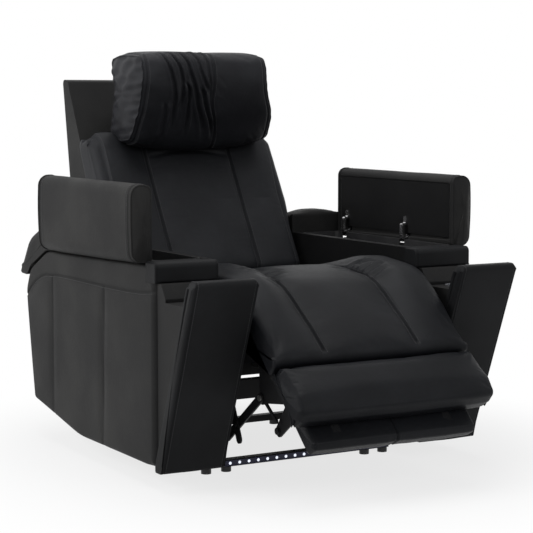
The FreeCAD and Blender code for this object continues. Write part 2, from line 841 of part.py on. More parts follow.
def lid_pad():
    """Cushion of the arm lid, standing open; its underside faces the sitter."""
    x0, x1 = lid_face_x, lid_face_x + lid_thickness
    z0, z1 = lid_foot_z, lid_foot_z + lid_width
    points = [(x0, z0), (x1, z0), (x1, z1), (x0, z1)]
    radii = scaled([0.12, 0.44, 0.44, 0.12], lid_thickness)
    pad = crowned_pad(points, radii, [0.3, 1.0, 0.3, 0.0], lid_front_y + lid_length / 2, lid_length / 2,
                      lid_end_crown, arch_stations(lid_arch_power), lambda y, p: V(p[0], y, p[1]))
    return pad.cut([lid_board_box(0)] + [lid_notch(y) for y in hinge_ys])


def lid_board():
    """Stiff board set into the lid's underside."""
    return lid_board_box(0).cut([lid_notch(y) for y in hinge_ys])


def lid_hinge_arms():
    """Bent bars from the hinge pins round the bin's rim to the lid boards."""
    reach, rise, thick = hinge_arm_reach, hinge_arm_rise, hinge_arm_thickness
    face = lid_face_x - hinge_x
    outline = [
        (0, -thick / 2), (-reach, -thick / 2), (-reach, rise), (face, rise), (face, rise + hinge_tab_length),
        (face - thick, rise + hinge_tab_length), (face - thick, rise + thick), (-reach - thick, rise + thick),
        (-reach - thick, -thick / 2 - thick), (0, -thick / 2 - thick),
    ]
    points = [(hinge_x + x, hinge_z + z) for x, z in outline]
    radii = scaled([0, 1, 2, 1, 0, 0, 1, 2, 2, 0], thick)
    made = []
    for y in hinge_ys:
        y0, y1 = y - hinge_arm_width / 2, y + hinge_arm_width / 2
        strap = front_prism(points, radii, y0, y1)
        barrel = Part.makeCylinder(hinge_barrel_radius, y1 - y0, V(hinge_x, y0, hinge_z), V(0, 1, 0))
        bore = hinge_pin_radius + bearing_gap
        pin = Part.makeCylinder(bore, y1 - y0, V(hinge_x, y0, hinge_z), V(0, 1, 0))
        made.append(fused([strap, barrel]).cut(pin))
    return Part.makeCompound(made)


def lid_hinge_bases():
    """U-shaped brackets with their pins, set into the tops of both arms."""
    made = []
    thick = hinge_ear_thickness
    for y in hinge_ys:
        inside = hinge_arm_width / 2 + washer_thickness / 4
        y0, y1 = y - inside - thick, y + inside + thick
        foot_x0, foot_x1 = outer_panel_x, half_width - hinge_skin
        pieces = [box(foot_x0, foot_x1, y0, y1, hinge_floor_z, hinge_floor_z + hinge_base_thickness)]
        for ear_y in (y0, y1 - thick):
            x0, x1 = hinge_x - hinge_ear_radius, hinge_x + hinge_ear_radius
            pieces.append(box(x0, x1, ear_y, ear_y + thick, hinge_floor_z, hinge_z))
            pieces.append(Part.makeCylinder(hinge_ear_radius, thick, V(hinge_x, ear_y, hinge_z), V(0, 1, 0)))
        pieces.append(Part.makeCylinder(hinge_pin_radius, y1 - y0, V(hinge_x, y0, hinge_z), V(0, 1, 0)))
        made.append(fused(pieces))
    return both_sides(Part.makeCompound(made))


def feet():
    """Round feet under the base frame."""
    rows = (base_front_y + base_tube_width / 2, base_rear_y - base_tube_width / 2)
    pucks = [Part.makeCylinder(foot_radius, foot_height, V(x, y, 0)) for x in foot_pair_xs for y in rows]
    return both_sides(Part.makeCompound(pucks))


def base_frame():
    """Welded frame of rectangular tube that carries the mechanism."""
    x, width = base_rail_x, base_tube_width
    outer = [(-x, base_front_y), (x, base_front_y), (x, base_rear_y), (-x, base_rear_y)]
    inner = inset(outer, [width] * len(outer))
    ring = top_prism(outer, scaled([0.3] * len(outer), width), foot_height, base_top_z)
    return ring.cut(top_prism(inner, [0] * len(inner), foot_height - overrun, base_top_z + overrun))


def light_strip():
    """Channel along the front rail with its row of small lamps."""
    half = lamp_count * lamp_pitch / 2
    z0 = foot_height + base_tube_height / 2 - strip_height / 2
    strip = box(-half, half, base_front_y - strip_thickness, base_front_y, z0, z0 + strip_height)
    lip = strip_height / 6
    groove = box(-half - overrun, half + overrun, base_front_y - strip_thickness - overrun,
                 base_front_y - strip_thickness / 2, z0 + lip, z0 + strip_height - lip)
    x0, y = lamp_pitch / 2 - half, base_front_y - strip_thickness / 2
    middle = foot_height + base_tube_height / 2
    domes = []
    for i in range(lamp_count):
        spot = V(x0 + i * lamp_pitch, y, middle)
        domes.append(box(spot.x - lamp_radius, spot.x + lamp_radius, y - lamp_height, y, middle - lamp_radius,
                         middle + lamp_radius))
    return fused([strip.cut(groove)] + domes)


def side_plate():
    """Steel plate of the mechanism with legs, lobes for the pivots, a tab and a foot flange."""
    x0, x1 = plate_x, plate_outer_x
    band = plate_top_z - plate_web_z
    middle_z = (plate_top_z + plate_web_z) / 2
    front_leg = front_leg_y + leg_width / 2
    rear_leg = rear_leg_y + leg_width / 2
    pieces = [
        bar((front_leg, middle_z), (rear_leg, middle_z), band, x0, x1),
        rod_x(x0, x1, footrest_pivot_y, footrest_pivot_z, lobe_radius),
        bar(footrest_pivot, (knee_y, knee_z), knee_width, x0, x1),
        bar((knee_y, knee_z), (front_leg, middle_z), knee_width, x0, x1),
        bar(drive_pivot, (front_leg, middle_z), 2 * lobe_radius, x0, x1),
        bar((rear_leg, middle_z), (back_pivot_y, back_pivot_z), 2 * back_ear_radius, x0, x1),
        box(x0, x1, front_leg_y, front_leg_y + leg_width, base_top_z, middle_z),
        box(x0, x1, rear_leg_y, rear_leg_y + leg_width, base_top_z, middle_z),
        box(x0, x1, plate_tab_y, plate_tab_y + plate_tab_width, rear_cross_z, middle_z),
        box(x0, base_rail_x - plate_gap, front_leg_y, rear_leg_y + leg_width, base_top_z,
            base_top_z + plate_foot_thickness),
    ]
    holes = [
        rod_x(x0 - overrun, x1 + overrun, drive_pivot_y, drive_pivot_z, torque_tube_radius + bearing_gap),
        rod_x(x0 - overrun, x1 + overrun, footrest_pivot_y, footrest_pivot_z, link_pin_radius),
        rod_x(x0 - overrun, x1 + overrun, back_pivot_y, back_pivot_z, link_pin_radius),
    ]
    return fused(pieces + arm_brackets()).cut(holes)


def c_rail(y, z, height):
    """Folded channel across the mechanism, open to the rear."""
    depth, wall = cross_rail_thickness, cross_rail_wall
    points = [
        (y, z), (y + depth, z), (y + depth, z + wall), (y + wall, z + wall), (y + wall, z + height - wall),
        (y + depth, z + height - wall), (y + depth, z + height), (y, z + height),
    ]
    return side_prism(points, scaled([0.5, 0, 0, 0, 0, 0, 0, 0.5], wall), -plate_x, plate_x)


def arm_brackets():
    """Folded brackets on a side plate that hold the arm."""
    made = []
    wall = cross_rail_wall
    z0, z1 = arm_bracket_z, arm_bracket_z + arm_bracket_height
    for y in arm_bracket_ys:
        points = [
            (plate_outer_x, z0), (plate_outer_x, z1), (plate_outer_x + wall, z1), (plate_outer_x + wall, z0 + wall),
            (inner_x - wall, z0 + wall), (inner_x - wall, z1), (inner_x, z1), (inner_x, z0),
        ]
        made.append(front_prism(points, [0] * len(points), y, y + arm_bracket_width))
    return made


def seat_frame():
    """Wooden frame under the seat cushion, notched for the torque tube."""
    board, x1 = seat_board_thickness, plate_x
    top = seat_box_top_z
    pieces = [
        box(-x1, x1, seat_box_front_y, seat_box_front_y + board, top - seat_front_height, top),
        box(-x1, x1, seat_box_rear_y - board, seat_box_rear_y, top - seat_side_height, top),
    ]
    for x in (-x1, x1 - board):
        pieces.append(box(x, x + board, seat_box_front_y, seat_box_rear_y, top - seat_side_height, top))
    room = torque_tube_radius + tube_notch_gap
    slot = box(-x1, x1, drive_pivot_y - room, drive_pivot_y + room, top - seat_side_height - overrun, drive_pivot_z)
    hole = rod_x(-x1, x1, drive_pivot_y, drive_pivot_z, room)
    heads = []
    for x0, x in ((-x1, -x1 + rivet_room), (x1 - rivet_room, x1)):
        heads.append(rod_x(x0, x, footrest_pivot_y, footrest_pivot_z, rivet_head_radius + tube_notch_gap))
    return fused(pieces).cut([slot, hole] + heads)


def seat_webbing():
    """Straps across the seat frame, front to rear and side to side at one level each."""
    z = seat_box_top_z
    made = []
    length = seat_box_rear_y - seat_box_front_y
    pitch = length / (webbing_count + 1)
    for i in range(webbing_count):
        y = seat_box_front_y + (i + 1) * pitch
        made.append(box(-plate_x, plate_x, y - webbing_width / 2, y + webbing_width / 2, z, z + webbing_thickness))
    return Part.makeCompound(made)


def seat_cushion():
    """Seat in three sewn panels with a domed front that rolls down to the footrest."""
    size = (-seat_cushion_length, seat_cushion_height)
    points = spread(seat_shares, (seat_box_rear_y, seat_floor_z), size)
    radii = scaled(seat_radius_shares, seat_cushion_length)
    return crowned_pad(points, radii, seat_crown_shares, 0, seat_half_width, seat_crown,
                       panel_stations(seat_crown), plain)


def footrest_sheet(points, radii, x0, x1):
    """A plate of the footrest, its outline in the footrest's own frame."""
    return side_prism([on_footrest(a, b) for a, b in points], radii, x0, x1)


def footrest_bar(points, a0, a1):
    """A rail along the footrest; its section is given across X and square to the board."""
    start = [on_footrest(a0, b) for x, b in points]
    spots = [V(points[i][0], start[i][0], start[i][1]) for i in range(len(points))]
    end, origin = on_footrest(a1, 0), on_footrest(a0, 0)
    face = Part.Face(Part.makePolygon(spots + spots[:1]))
    return face.extrude(V(0, end[0] - origin[0], end[1] - origin[1]))


def footrest_board():
    """Board that carries the calf and foot pads."""
    half, low = footrest_board_half_width, footrest_board_offset
    points = [(footrest_board_start, low), (board_end, low), (board_end, board_top_b),
              (footrest_board_start, board_top_b)]
    return footrest_sheet(points, [0] * len(points), -half, half)


def footrest_pad(shares, radius_shares, crown_shares, start, size, crown):
    """A pad of the footrest in three panels."""
    points = [on_footrest(a, b) for a, b in spread(shares, (start, board_top_b), size)]
    radii = scaled(radius_shares, size[0])
    return crowned_pad(points, radii, crown_shares, 0, footrest_half_width, crown, panel_stations(crown), plain)


def calf_pad():
    """Pad behind the calves."""
    size = (calf_pad_length, calf_pad_height)
    return footrest_pad(calf_shares, calf_radius_shares, calf_crown_shares, calf_pad_start, size, calf_crown)


def foot_pad():
    """Pad under the heels, wrapped down over the board's end."""
    size = (foot_pad_length, foot_pad_height)
    return footrest_pad(foot_shares, foot_radius_shares, foot_crown_shares, foot_pad_start, size, foot_crown)


def footrest_bracket():
    """Steel bracket under the footrest board, with its flange, pivot holes and a slim stay."""
    lobe, low = lobe_radius, footrest_board_offset
    a_pivot, b_pivot = bracket_pivot_a, bracket_pivot_b
    x0, x1 = bracket_x, bracket_x + plate_thickness
    points = [
        (0, -lobe), (0, low), (bracket_length, low), (bracket_length, low - link_width),
        (a_pivot + lobe, b_pivot), (a_pivot - lobe, b_pivot), (a_pivot * bracket_neck_share, -lobe),
    ]
    web = footrest_sheet(points, scaled([0, 0, 0.4, 0.4, 0, 0, 3], link_width), x0, x1)
    stay_start = on_footrest(a_pivot, b_pivot)
    stay_end = on_footrest(a_pivot + stay_run_a, b_pivot + stay_run_b)
    stay = bar(stay_start, stay_end, stay_width, x0, x1)
    lobes = [rod_x(x0, x1, y, z, lobe) for y, z in (footrest_pivot, bracket_pivot)]
    flange_low = low - bracket_flange_thickness
    flange_points = [(footrest_board_start, flange_low), (bracket_length, flange_low), (bracket_length, low),
                     (footrest_board_start, low)]
    flange = footrest_sheet(flange_points, [0] * len(flange_points), x0, x0 + bracket_flange_width)
    holes = []
    for y, z in (footrest_pivot, bracket_pivot):
        holes.append(rod_x(x0 - overrun, x1 + overrun, y, z, link_pin_radius + bearing_gap))
    return fused([web, stay, flange] + lobes).cut(holes)


def pivot_pin(spot, x0, x1, collar_x):
    """Rivet along X with a collar that keeps its two plates apart."""
    collar = rod_x(collar_x + bearing_gap, collar_x + washer_thickness - bearing_gap, spot[0], spot[1],
                   rivet_head_radius)
    return fused([rivet(x0 - bearing_gap, x1 + bearing_gap, spot[0], spot[1], link_pin_radius), collar])


def back_pivot_pin():
    """Rivet on which one ear of the back turns."""
    y, z = back_pivot_y, back_pivot_z
    pin = rivet(ear_x - bearing_gap, plate_outer_x, y, z, link_pin_radius)
    collar = rod_x(ear_x + back_ear_thickness + bearing_gap, plate_x, y, z, rivet_head_radius)
    return fused([pin, collar])


def plate_rivets():
    """Rivets on which the footrest brackets and the back's ears turn on the side plates."""
    pin = pivot_pin(footrest_pivot, plate_x, bracket_x + plate_thickness, plate_outer_x)
    return both_sides(Part.makeCompound([pin, back_pivot_pin()]))


def link_rivets():
    """Rivets between the footrest brackets and the lift links."""
    pin = pivot_pin(bracket_pivot, bracket_x, lift_x + plate_thickness, bracket_x + plate_thickness)
    return both_sides(pin)


def past(start, end, extra):
    """The point that lies beyond the end by an extra length."""
    run = (end[0] - start[0], end[1] - start[1])
    length = math.hypot(*run)
    return (end[0] + run[0] / length * extra, end[1] + run[1] / length * extra)


def lift_links():
    """Links from the footrest brackets to the swing links, running on to the rear."""
    x0, x1 = lift_x, lift_x + plate_thickness
    link = bar(bracket_pivot, past(bracket_pivot, open_pivot, lift_link_tail), link_width, x0, x1)
    holes = []
    for y, z in (bracket_pivot, open_pivot):
        holes.append(rod_x(x0 - overrun, x1 + overrun, y, z, link_pin_radius + link_play))
    return both_sides(link.cut(holes))


def swing_link():
    """Link that hangs from the torque tube, with its riveted pin for the lift link."""
    x0, x1 = swing_x, swing_x + plate_thickness
    link = bar(drive_pivot, past(drive_pivot, open_pivot, drive_link_tail), link_width, x0, x1)
    boss = rod_x(x0, x1, drive_pivot[0], drive_pivot[1], torque_tube_radius + tube_notch_gap)
    return fused([link, boss, pivot_pin(open_pivot, lift_x, x1, lift_x + plate_thickness)])


def drive_shaft():
    """Torque tube across the mechanism, with its two swing links and the crank in its middle."""
    end = swing_x + plate_thickness
    y, z = drive_pivot
    tube = rod_x(-end, end, y, z, torque_tube_radius)
    hollow = rod_x(-end - overrun, end + overrun, y, z, torque_tube_radius - torque_tube_wall)
    half = crank_thickness / 2
    crank = bar(drive_pivot, (crank_pin_y, crank_pin_z), crank_width, -half, half)
    reach = yoke_x + yoke_thickness + crank_pin_overhang
    pin = rod_x(-reach, reach, crank_pin_y, crank_pin_z, crank_pin_radius)
    link = swing_link()
    return fused([tube, crank, pin, link, link.mirror(V(0, 0, 0), V(1, 0, 0))]).cut(hollow)


def extension_pad():
    """Upholstered foot extension in its place under the footrest."""
    top = extension_top - extension_board_thickness
    low = extension_top - extension_thickness
    a0, a1 = extension_start, extension_end
    points = [on_footrest(a, b) for a, b in ((a0, top), (a0, low), (a1, low), (a1, top))]
    radii = scaled([0, 0.3, 1, 0.6], extension_nose_radius)
    return crowned_pad(points, radii, [0.4, 1.0, 1.0, 0.0], 0, extension_half_width, extension_crown,
                       arch_stations(lid_arch_power), plain)


def runner(x):
    """T-shaped runner on the extension board, which slides in a channel."""
    head_low = footrest_board_offset - slide_rail_height + runner_wall + runner_gap
    head_high = footrest_board_offset - runner_wall - runner_gap
    half = slide_rail_width / 2 - runner_wall - runner_gap
    stem = runner_width / 4 - runner_gap
    low = extension_top
    section = [
        (x - stem, low), (x + stem, low), (x + stem, head_low), (x + half, head_low), (x + half, head_high),
        (x - half, head_high), (x - half, head_low), (x - stem, head_low),
    ]
    return footrest_bar(section, extension_start, extension_end - extension_nose_radius)


def extension_board():
    """Board of the foot extension, with its runners."""
    top, low = extension_top, extension_top - extension_board_thickness
    a0, a1 = extension_start, extension_end - extension_nose_radius
    points = [(a0, low), (a1, low), (a1, top), (a0, top)]
    half = extension_half_width - extension_crown
    board = footrest_sheet(points, [0] * len(points), -half, half)
    return fused([board, runner(-slide_rail_x), runner(slide_rail_x)])


def slide_rails():
    """Channels under the footrest board in which the foot extension runs."""
    high = footrest_board_offset
    low = high - slide_rail_height
    wall, half, slot = runner_wall, slide_rail_width / 2, runner_width / 4
    made = []
    for x in (-slide_rail_x, slide_rail_x):
        section = [
            (x - half, low), (x - slot, low), (x - slot, low + wall), (x - half + wall, low + wall),
            (x - half + wall, high - wall), (x + half - wall, high - wall), (x + half - wall, low + wall),
            (x + slot, low + wall), (x + slot, low), (x + half, low), (x + half, high), (x - half, high),
        ]
        made.append(footrest_bar(section, slide_start, board_end - plate_gap))
    return Part.makeCompound(made)


def extension_brackets():
    """Side plates of the extension, each with a foot that carries a round stop."""
    x0 = extension_half_width
    x1 = x0 + extension_bracket_thickness
    a0, a1 = extension_bracket_start, extension_bracket_start + extension_bracket_length
    low, high = extension_top - extension_foot_drop, extension_top - extension_board_thickness
    taper = extension_bracket_length / 4
    points = [(a0, high), (a0 + taper, low), (a1 - taper, low), (a1, high)]
    plate = footrest_sheet(points, [0, taper, taper, 0], x0, x1)
    middle = (a0 + a1) / 2
    y, z = on_footrest(middle, low + knob_radius + taper / 2)
    knob = rod_x(x1, x1 + knob_length, y, z, knob_radius)
    return both_sides(fused([plate, knob]))


def carriage_rail():
    """Rail of the footrest drive, on the front cross rail and against the rear one."""
    half = rail_width / 2
    rail = box(-half, half, rail_front_y, rear_cross_y, rail_z, rail_top_z)
    groove = box(-half / 2, half / 2, rail_front_y - overrun, rear_cross_y - gearbox_length,
                 rail_z + rail_height / 2, rail_top_z + overrun)
    return rail.cut(groove)


def carriage():
    """Slider on the rail with two yoke plates that take the crank's pin between them."""
    half = rail_width / 2 + carriage_side
    y0 = slot_centre_y + carriage_setback
    y1 = y0 + carriage_length
    z0 = rail_top_z + seat_gap
    z1 = z0 + carriage_height
    block = box(-half, half, y0, y1, z0, z1)
    half_slot = crank_pin_radius + yoke_clearance
    top = crank_pin_z + yoke_height / 2 + yoke_nose / 2
    pieces = [block]
    cuts = []
    for x in (-yoke_x - yoke_thickness, yoke_x):
        outline = [
            (slot_centre_y - half_slot - yoke_nose, z1 - yoke_thickness), (y1, z1 - yoke_thickness), (y1, z1),
            (y0, top), (slot_centre_y - half_slot - yoke_nose, top),
        ]
        pieces.append(side_prism(outline, scaled([1, 0, 0, 1, 1], yoke_thickness), x, x + yoke_thickness))
        low = drive_pivot_z - crank_radius - half_slot
        high = drive_pivot_z - crank_radius * crank_lift_share + half_slot
        slot = [(slot_centre_y - half_slot, low), (slot_centre_y + half_slot, low),
                (slot_centre_y + half_slot, high), (slot_centre_y - half_slot, high)]
        cuts.append(side_prism(slot, [half_slot * slot_end_share] * len(slot), x - overrun,
                               x + yoke_thickness + overrun))
    return fused(pieces).cut(cuts)


def footrest_motor():
    """Gearbox on the rail's rear end with its motor lying across the chair."""
    half = gearbox_height / 2
    z = rail_top_z + seat_gap
    y1 = rear_cross_y
    points = [(-half, z), (half, z), (half, z + gearbox_height), (-half, z + gearbox_height)]
    gearbox = front_prism(points, [gearbox_radius] * len(points), y1 - gearbox_length, y1)
    motor = rod_x(half, half + motor_length, y1 - gearbox_length / 2, z + half, motor_radius)
    return fused([gearbox, motor])


def back_actuator():
    """Motor, gearbox and outer tube of the recline drive, on the rear cross rail."""
    x, z = back_actuator_x, rod_pin_z
    half = gearbox_height / 2
    y0 = rear_cross_y + cross_rail_thickness
    points = [(x - half, z - half), (x + half, z - half), (x + half, z + half), (x - half, z + half)]
    gearbox = front_prism(points, [gearbox_radius] * len(points), y0, y0 + gearbox_length)
    tube = Part.makeCylinder(actuator_tube_radius, actuator_tube_length + gearbox_length, V(x, y0, z), V(0, 1, 0))
    motor = Part.makeCylinder(motor_radius, motor_length, V(x, y0 + gearbox_length / 2, z - half), V(0, 0, -1))
    bore = Part.makeCylinder(rod_radius + bearing_gap, actuator_tube_length + overrun,
                             V(x, y0 + gearbox_length, z), V(0, 1, 0))
    return fused([gearbox, tube, motor]).cut(bore)


def back_rod():
    """Rod of the recline drive with a fork and pin at its end."""
    x, z = back_actuator_x, rod_pin_z
    tube_end = rear_cross_y + cross_rail_thickness + gearbox_length + actuator_tube_length
    fork_y = rod_pin_y - fork_width
    rod = Part.makeCylinder(rod_radius, fork_y - tube_end + rod_overlap, V(x, tube_end - rod_overlap, z), V(0, 1, 0))
    inside = back_lever_thickness / 2 + fork_gap
    pieces = [rod]
    pieces.append(box(x - inside - fork_thickness, x + inside + fork_thickness, fork_y - fork_thickness, fork_y,
                      z - fork_width / 2, z + fork_width / 2))
    for x0 in (x - inside - fork_thickness, x + inside):
        pieces.append(box(x0, x0 + fork_thickness, fork_y, rod_pin_y, z - fork_width / 2, z + fork_width / 2))
        pieces.append(rod_x(x0, x0 + fork_thickness, rod_pin_y, z, fork_width / 2))
    pieces.append(rod_x(x - inside - fork_thickness, x + inside + fork_thickness, rod_pin_y, z, rod_pin_radius))
    return fused(pieces)


def back_sheet(points, radii, x0, x1):
    """A plate of the back, its outline in the back's own frame."""
    return side_prism([on_back(u, n) for u, n in points], radii, x0, x1)


def back_block(x0, x1, u0, u1, n0, n1):
    """A straight piece along the front wall of the back."""
    points = [(u0, n0), (u1, n0), (u1, n1), (u0, n1)]
    return back_sheet(points, [0] * len(points), x0, x1)


def back_shell():
    """Hollow rear shell of the back: front wall, sides, top and curved rear, open below."""
    start = on_back(-wall_drop, 0)
    size = (shell_length, shell_height)
    points = [start, on_back(wall_length, 0)] + spread(shell_shares, (start[0], shell_foot_z), size)
    radii = scaled(shell_radius_shares, shell_height)
    outer = side_prism(points, radii, -shell_half_width, shell_half_width)
    wall = wall_thickness
    room = inset(points, [wall, wall, wall, wall, wall, -overrun, -overrun, -overrun])
    side = shell_half_width - wall
    inner = side_prism(room, scaled(shell_room_shares, shell_height), -side, side)
    slots = []
    for x in (-ear_x - back_ear_thickness, ear_x):
        slots.append(back_block(x - ear_slot_gap, x + back_ear_thickness + ear_slot_gap, -ear_slot_height,
                                ear_slot_height, -overrun, wall + overrun))
    return outer.cut([inner] + slots)


def back_frame():
    """Uprights behind the front wall, their rails, ears, tube and the slotted lever of the recline drive."""
    wall = wall_thickness
    half = upright_width / 2
    pieces = []
    for x in (-upright_x, upright_x):
        pieces.append(back_block(x - half, x + half, 0, upright_length, wall, wall + upright_depth))
    for share in back_rail_shares:
        u = upright_length * share
        pieces.append(back_block(-upright_x, upright_x, u, u + upright_width, wall, wall + upright_depth))
    pivot = (back_pivot_y, back_pivot_z)
    foot = on_back(upright_width / 2, wall + upright_depth / 2)
    for x0 in (-ear_x - back_ear_thickness, ear_x):
        x1 = x0 + back_ear_thickness
        pieces.append(bar(pivot, foot, ear_band, x0, x1))
        pieces.append(bar(pivot, back_tube, ear_band, x0, x1))
        pieces.append(bar(back_tube, foot, ear_band, x0, x1))
        pieces.append(rod_x(x0, x1, pivot[0], pivot[1], back_ear_radius))
    pieces.append(rod_x(-ear_x, ear_x, back_tube[0], back_tube[1], back_tube_radius))
    x0 = back_actuator_x - back_lever_thickness / 2
    x1 = x0 + back_lever_thickness
    pin = (rod_pin_y, rod_pin_z)
    pieces.append(bar(back_tube, past(pivot, pin, slot_run), lever_width, x0, x1))
    slot_low, slot_high = past(pivot, pin, slot_run), past(pivot, pin, -slot_run)
    slot = bar(slot_high, slot_low, 2 * (rod_pin_radius + slot_clearance), x0 - overrun, x1 + overrun)
    holes = [slot]
    reach = ear_x + back_ear_thickness + overrun
    holes.append(rod_x(-reach, reach, pivot[0], pivot[1], link_pin_radius + bearing_gap))
    return fused(pieces).cut(holes)


def back_cushion():
    """Back cushion in three sewn panels, on the front wall of the shell."""
    size = (back_cushion_length, back_cushion_depth)
    points = [on_back(u, n) for u, n in spread(back_shares, (0, -seat_gap), size)]
    radii = scaled(back_radius_shares, back_cushion_length)
    return crowned_pad(points, radii, back_crown_shares, 0, back_half_width, back_crown,
                       panel_stations(back_crown), plain)


def headrest_cushion():
    """Pillow of the headrest, plump over its length and drawn in at its ends."""
    size = (headrest_length, headrest_height)
    points = spread(headrest_shares, (headrest_y, headrest_z), size)
    radii = scaled(headrest_radius_shares, headrest_length)
    pad = crowned_pad(points, radii, headrest_crown_shares, 0, headrest_half_width, headrest_crown,
                      arch_stations(lid_arch_power), plain)
    return pad.cut(headrest_frame())


def headrest_board_box():
    """The board let into the rear face of the pillow."""
    half, u0 = headrest_board_half_width, headrest_u - headrest_board_drop
    n0 = headrest_board_n - headrest_board_thickness
    return back_block(-half, half, u0, u0 + headrest_board_length, n0, headrest_board_n)


def headrest_frame():
    """Board of the pillow with the two arms on which it tilts."""
    pieces = [headrest_board_box()]
    thick = headrest_arm_thickness
    pivot = on_back(headrest_u, headrest_n)
    for x in (-headrest_arm_x, headrest_arm_x):
        x0 = x - thick / 2
        pieces.append(bar(pivot, on_back(headrest_u, headrest_board_n - headrest_board_thickness / 2),
                          2 * headrest_ear_radius, x0, x0 + thick))
    half = headrest_arm_x + thick
    hole = rod_x(-half, half, pivot[0], pivot[1], headrest_pin_radius + bearing_gap)
    return fused(pieces).cut(hole)


def headrest_ears():
    """Ears on the shell's front wall that carry the headrest's pivot pins."""
    thick = headrest_arm_thickness
    y, z = on_back(headrest_u, headrest_n)
    made = []
    for x in (-headrest_arm_x, headrest_arm_x):
        pieces = []
        inside = thick / 2 + fork_gap
        for x0 in (x - inside - thick, x + inside):
            pieces.append(bar((y, z), on_back(headrest_u, -headrest_ear_radius), 2 * headrest_ear_radius, x0,
                              x0 + thick))
            pieces.append(back_block(x0, x0 + thick, headrest_u - headrest_ear_radius,
                                     headrest_u + headrest_ear_radius, -headrest_ear_radius - thick, 0))
        reach = inside + thick
        pieces.append(back_block(x - reach, x + reach, headrest_u - headrest_ear_radius,
                                 headrest_u + headrest_ear_radius, -fork_gap - thick / 2, 0))
        pieces.append(rod_x(x - reach, x + reach, y, z, headrest_pin_radius))
        made.append(fused(pieces))
    return Part.makeCompound(made)


def control_box():
    """Power and control box on the rear cross rail, with its inlet."""
    x0 = -plate_x / 2 - control_box_length / 2
    y0 = rear_cross_y + cross_rail_thickness
    z0 = rear_cross_z
    corners = [(x0, z0), (x0 + control_box_length, z0), (x0 + control_box_length, z0 + control_box_height),
               (x0, z0 + control_box_height)]
    body = front_prism(corners, scaled([0.12] * len(corners), control_box_height), y0, y0 + control_box_width)
    x, y, z = x0 + control_box_length / 2, y0 + control_box_width, z0 + control_box_height / 2
    inlet = Part.makeCylinder(inlet_radius, inlet_length, V(x, y, z), V(0, 1, 0))
    bore = Part.makeCylinder(inlet_bore, inlet_length, V(x, y + overrun, z), V(0, 1, 0))
    return fused([body, inlet]).cut(bore)


def button_spot(i):
    """Height and place along the arm of one button."""
    pitch = panel_length / button_count
    return panel_y + (i + 1 / 2) * pitch, panel_z + panel_height / 2


def control_panel():
    """Switch panel on the inner face of the right arm."""
    corners = [(panel_y, panel_z), (panel_y + panel_length, panel_z), (panel_y + panel_length, panel_z + panel_height),
               (panel_y, panel_z + panel_height)]
    radii = [panel_height * panel_corner_share] * len(corners)
    body = side_prism(corners, radii, -inner_x - panel_depth_in_wall, -inner_x + panel_thickness)
    holes = []
    for i in range(button_count):
        y, z = button_spot(i)
        hole_x = -inner_x + panel_thickness + button_proud - button_length - button_travel - plate_gap
        holes.append(rod_x(hole_x, -inner_x + panel_thickness + overrun, y, z, button_radius + button_clearance))
    return body.cut(holes)


def button(i):
    """One push button."""
    y, z = button_spot(i)
    x1 = -inner_x + panel_thickness + button_proud
    cap = rod_x(x1 - button_length, x1, y, z, button_radius)
    rim = [e for e in cap.Edges if len(e.Vertexes) == 1 and e.Vertexes[0].X > x1 - plate_gap]
    return cap.makeChamfer(button_proud / 3, rim)


def control_pocket():
    """Cavity in the right arm's inner panel for the switch panel."""
    return box(-inner_x - panel_depth_in_wall, -inner_x + overrun, panel_y, panel_y + panel_length, panel_z,
               panel_z + panel_height)


def main():
    """Write every sub-part."""
    frame = arm_frame()
    save("arm_frame_left", frame)
    save("arm_frame_right", frame.mirror(V(0, 0, 0), V(1, 0, 0)).cut(control_pocket()))
    nose = arm_nose()
    other_nose = nose.mirror(V(0, 0, 0), V(1, 0, 0)).cut(control_pocket())
    save("arm_noses", Part.makeCompound([nose, other_nose]))
    for name, make in pairs:
        save_pair(name, make())
    for name, make in mirrored:
        save(name, both_sides(make()))
    for name, make in singles:
        save(name, make())
    save("front_cross_rail", c_rail(front_cross_y, front_cross_z, cross_rail_height))
    save("rear_cross_rail", c_rail(rear_cross_y, rear_cross_z, rear_cross_height))
    for i in range(button_count):
        save("button_" + str(i + 1), button(i))


pairs = [
    ("arm_outer_panel", arm_outer_panel), ("storage_bin", storage_bin), ("arm_filler", arm_filler),
    ("front_slab", front_slab), ("rear_arm_pad", rear_arm_pad), ("lid_pad", lid_pad), ("lid_board", lid_board),
    ("lid_hinge_arms", lid_hinge_arms), ("side_plate", side_plate),
]
mirrored = [("cup_liners", cup_liner), ("footrest_brackets", footrest_bracket)]
singles = [
    ("lid_hinge_bases", lid_hinge_bases), ("feet", feet), ("base_frame", base_frame),
    ("light_strip", light_strip), ("seat_frame", seat_frame), ("seat_webbing", seat_webbing),
    ("seat_cushion", seat_cushion), ("footrest_board", footrest_board), ("calf_pad", calf_pad),
    ("foot_pad", foot_pad), ("plate_rivets", plate_rivets), ("link_rivets", link_rivets),
    ("lift_links", lift_links), ("drive_shaft", drive_shaft), ("slide_rails", slide_rails),
    ("extension_pad", extension_pad), ("extension_board", extension_board),
    ("extension_brackets", extension_brackets), ("carriage_rail", carriage_rail), ("carriage", carriage),
    ("footrest_motor", footrest_motor), ("back_actuator", back_actuator), ("back_rod", back_rod),
    ("back_shell", back_shell), ("back_frame", back_frame), ("back_cushion", back_cushion),
    ("headrest_cushion", headrest_cushion), ("headrest_frame", headrest_frame),
    ("headrest_ears", headrest_ears), ("control_box", control_box), ("control_panel", control_panel),
]
main()
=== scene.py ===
# %% [markdown]
# A power recliner for a home theatre, dressed in black leather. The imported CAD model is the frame: every
# piece below sits where the CAD says, and the soft pieces replace the CAD's plain cushions.

# %% Load the frame
import json
import math

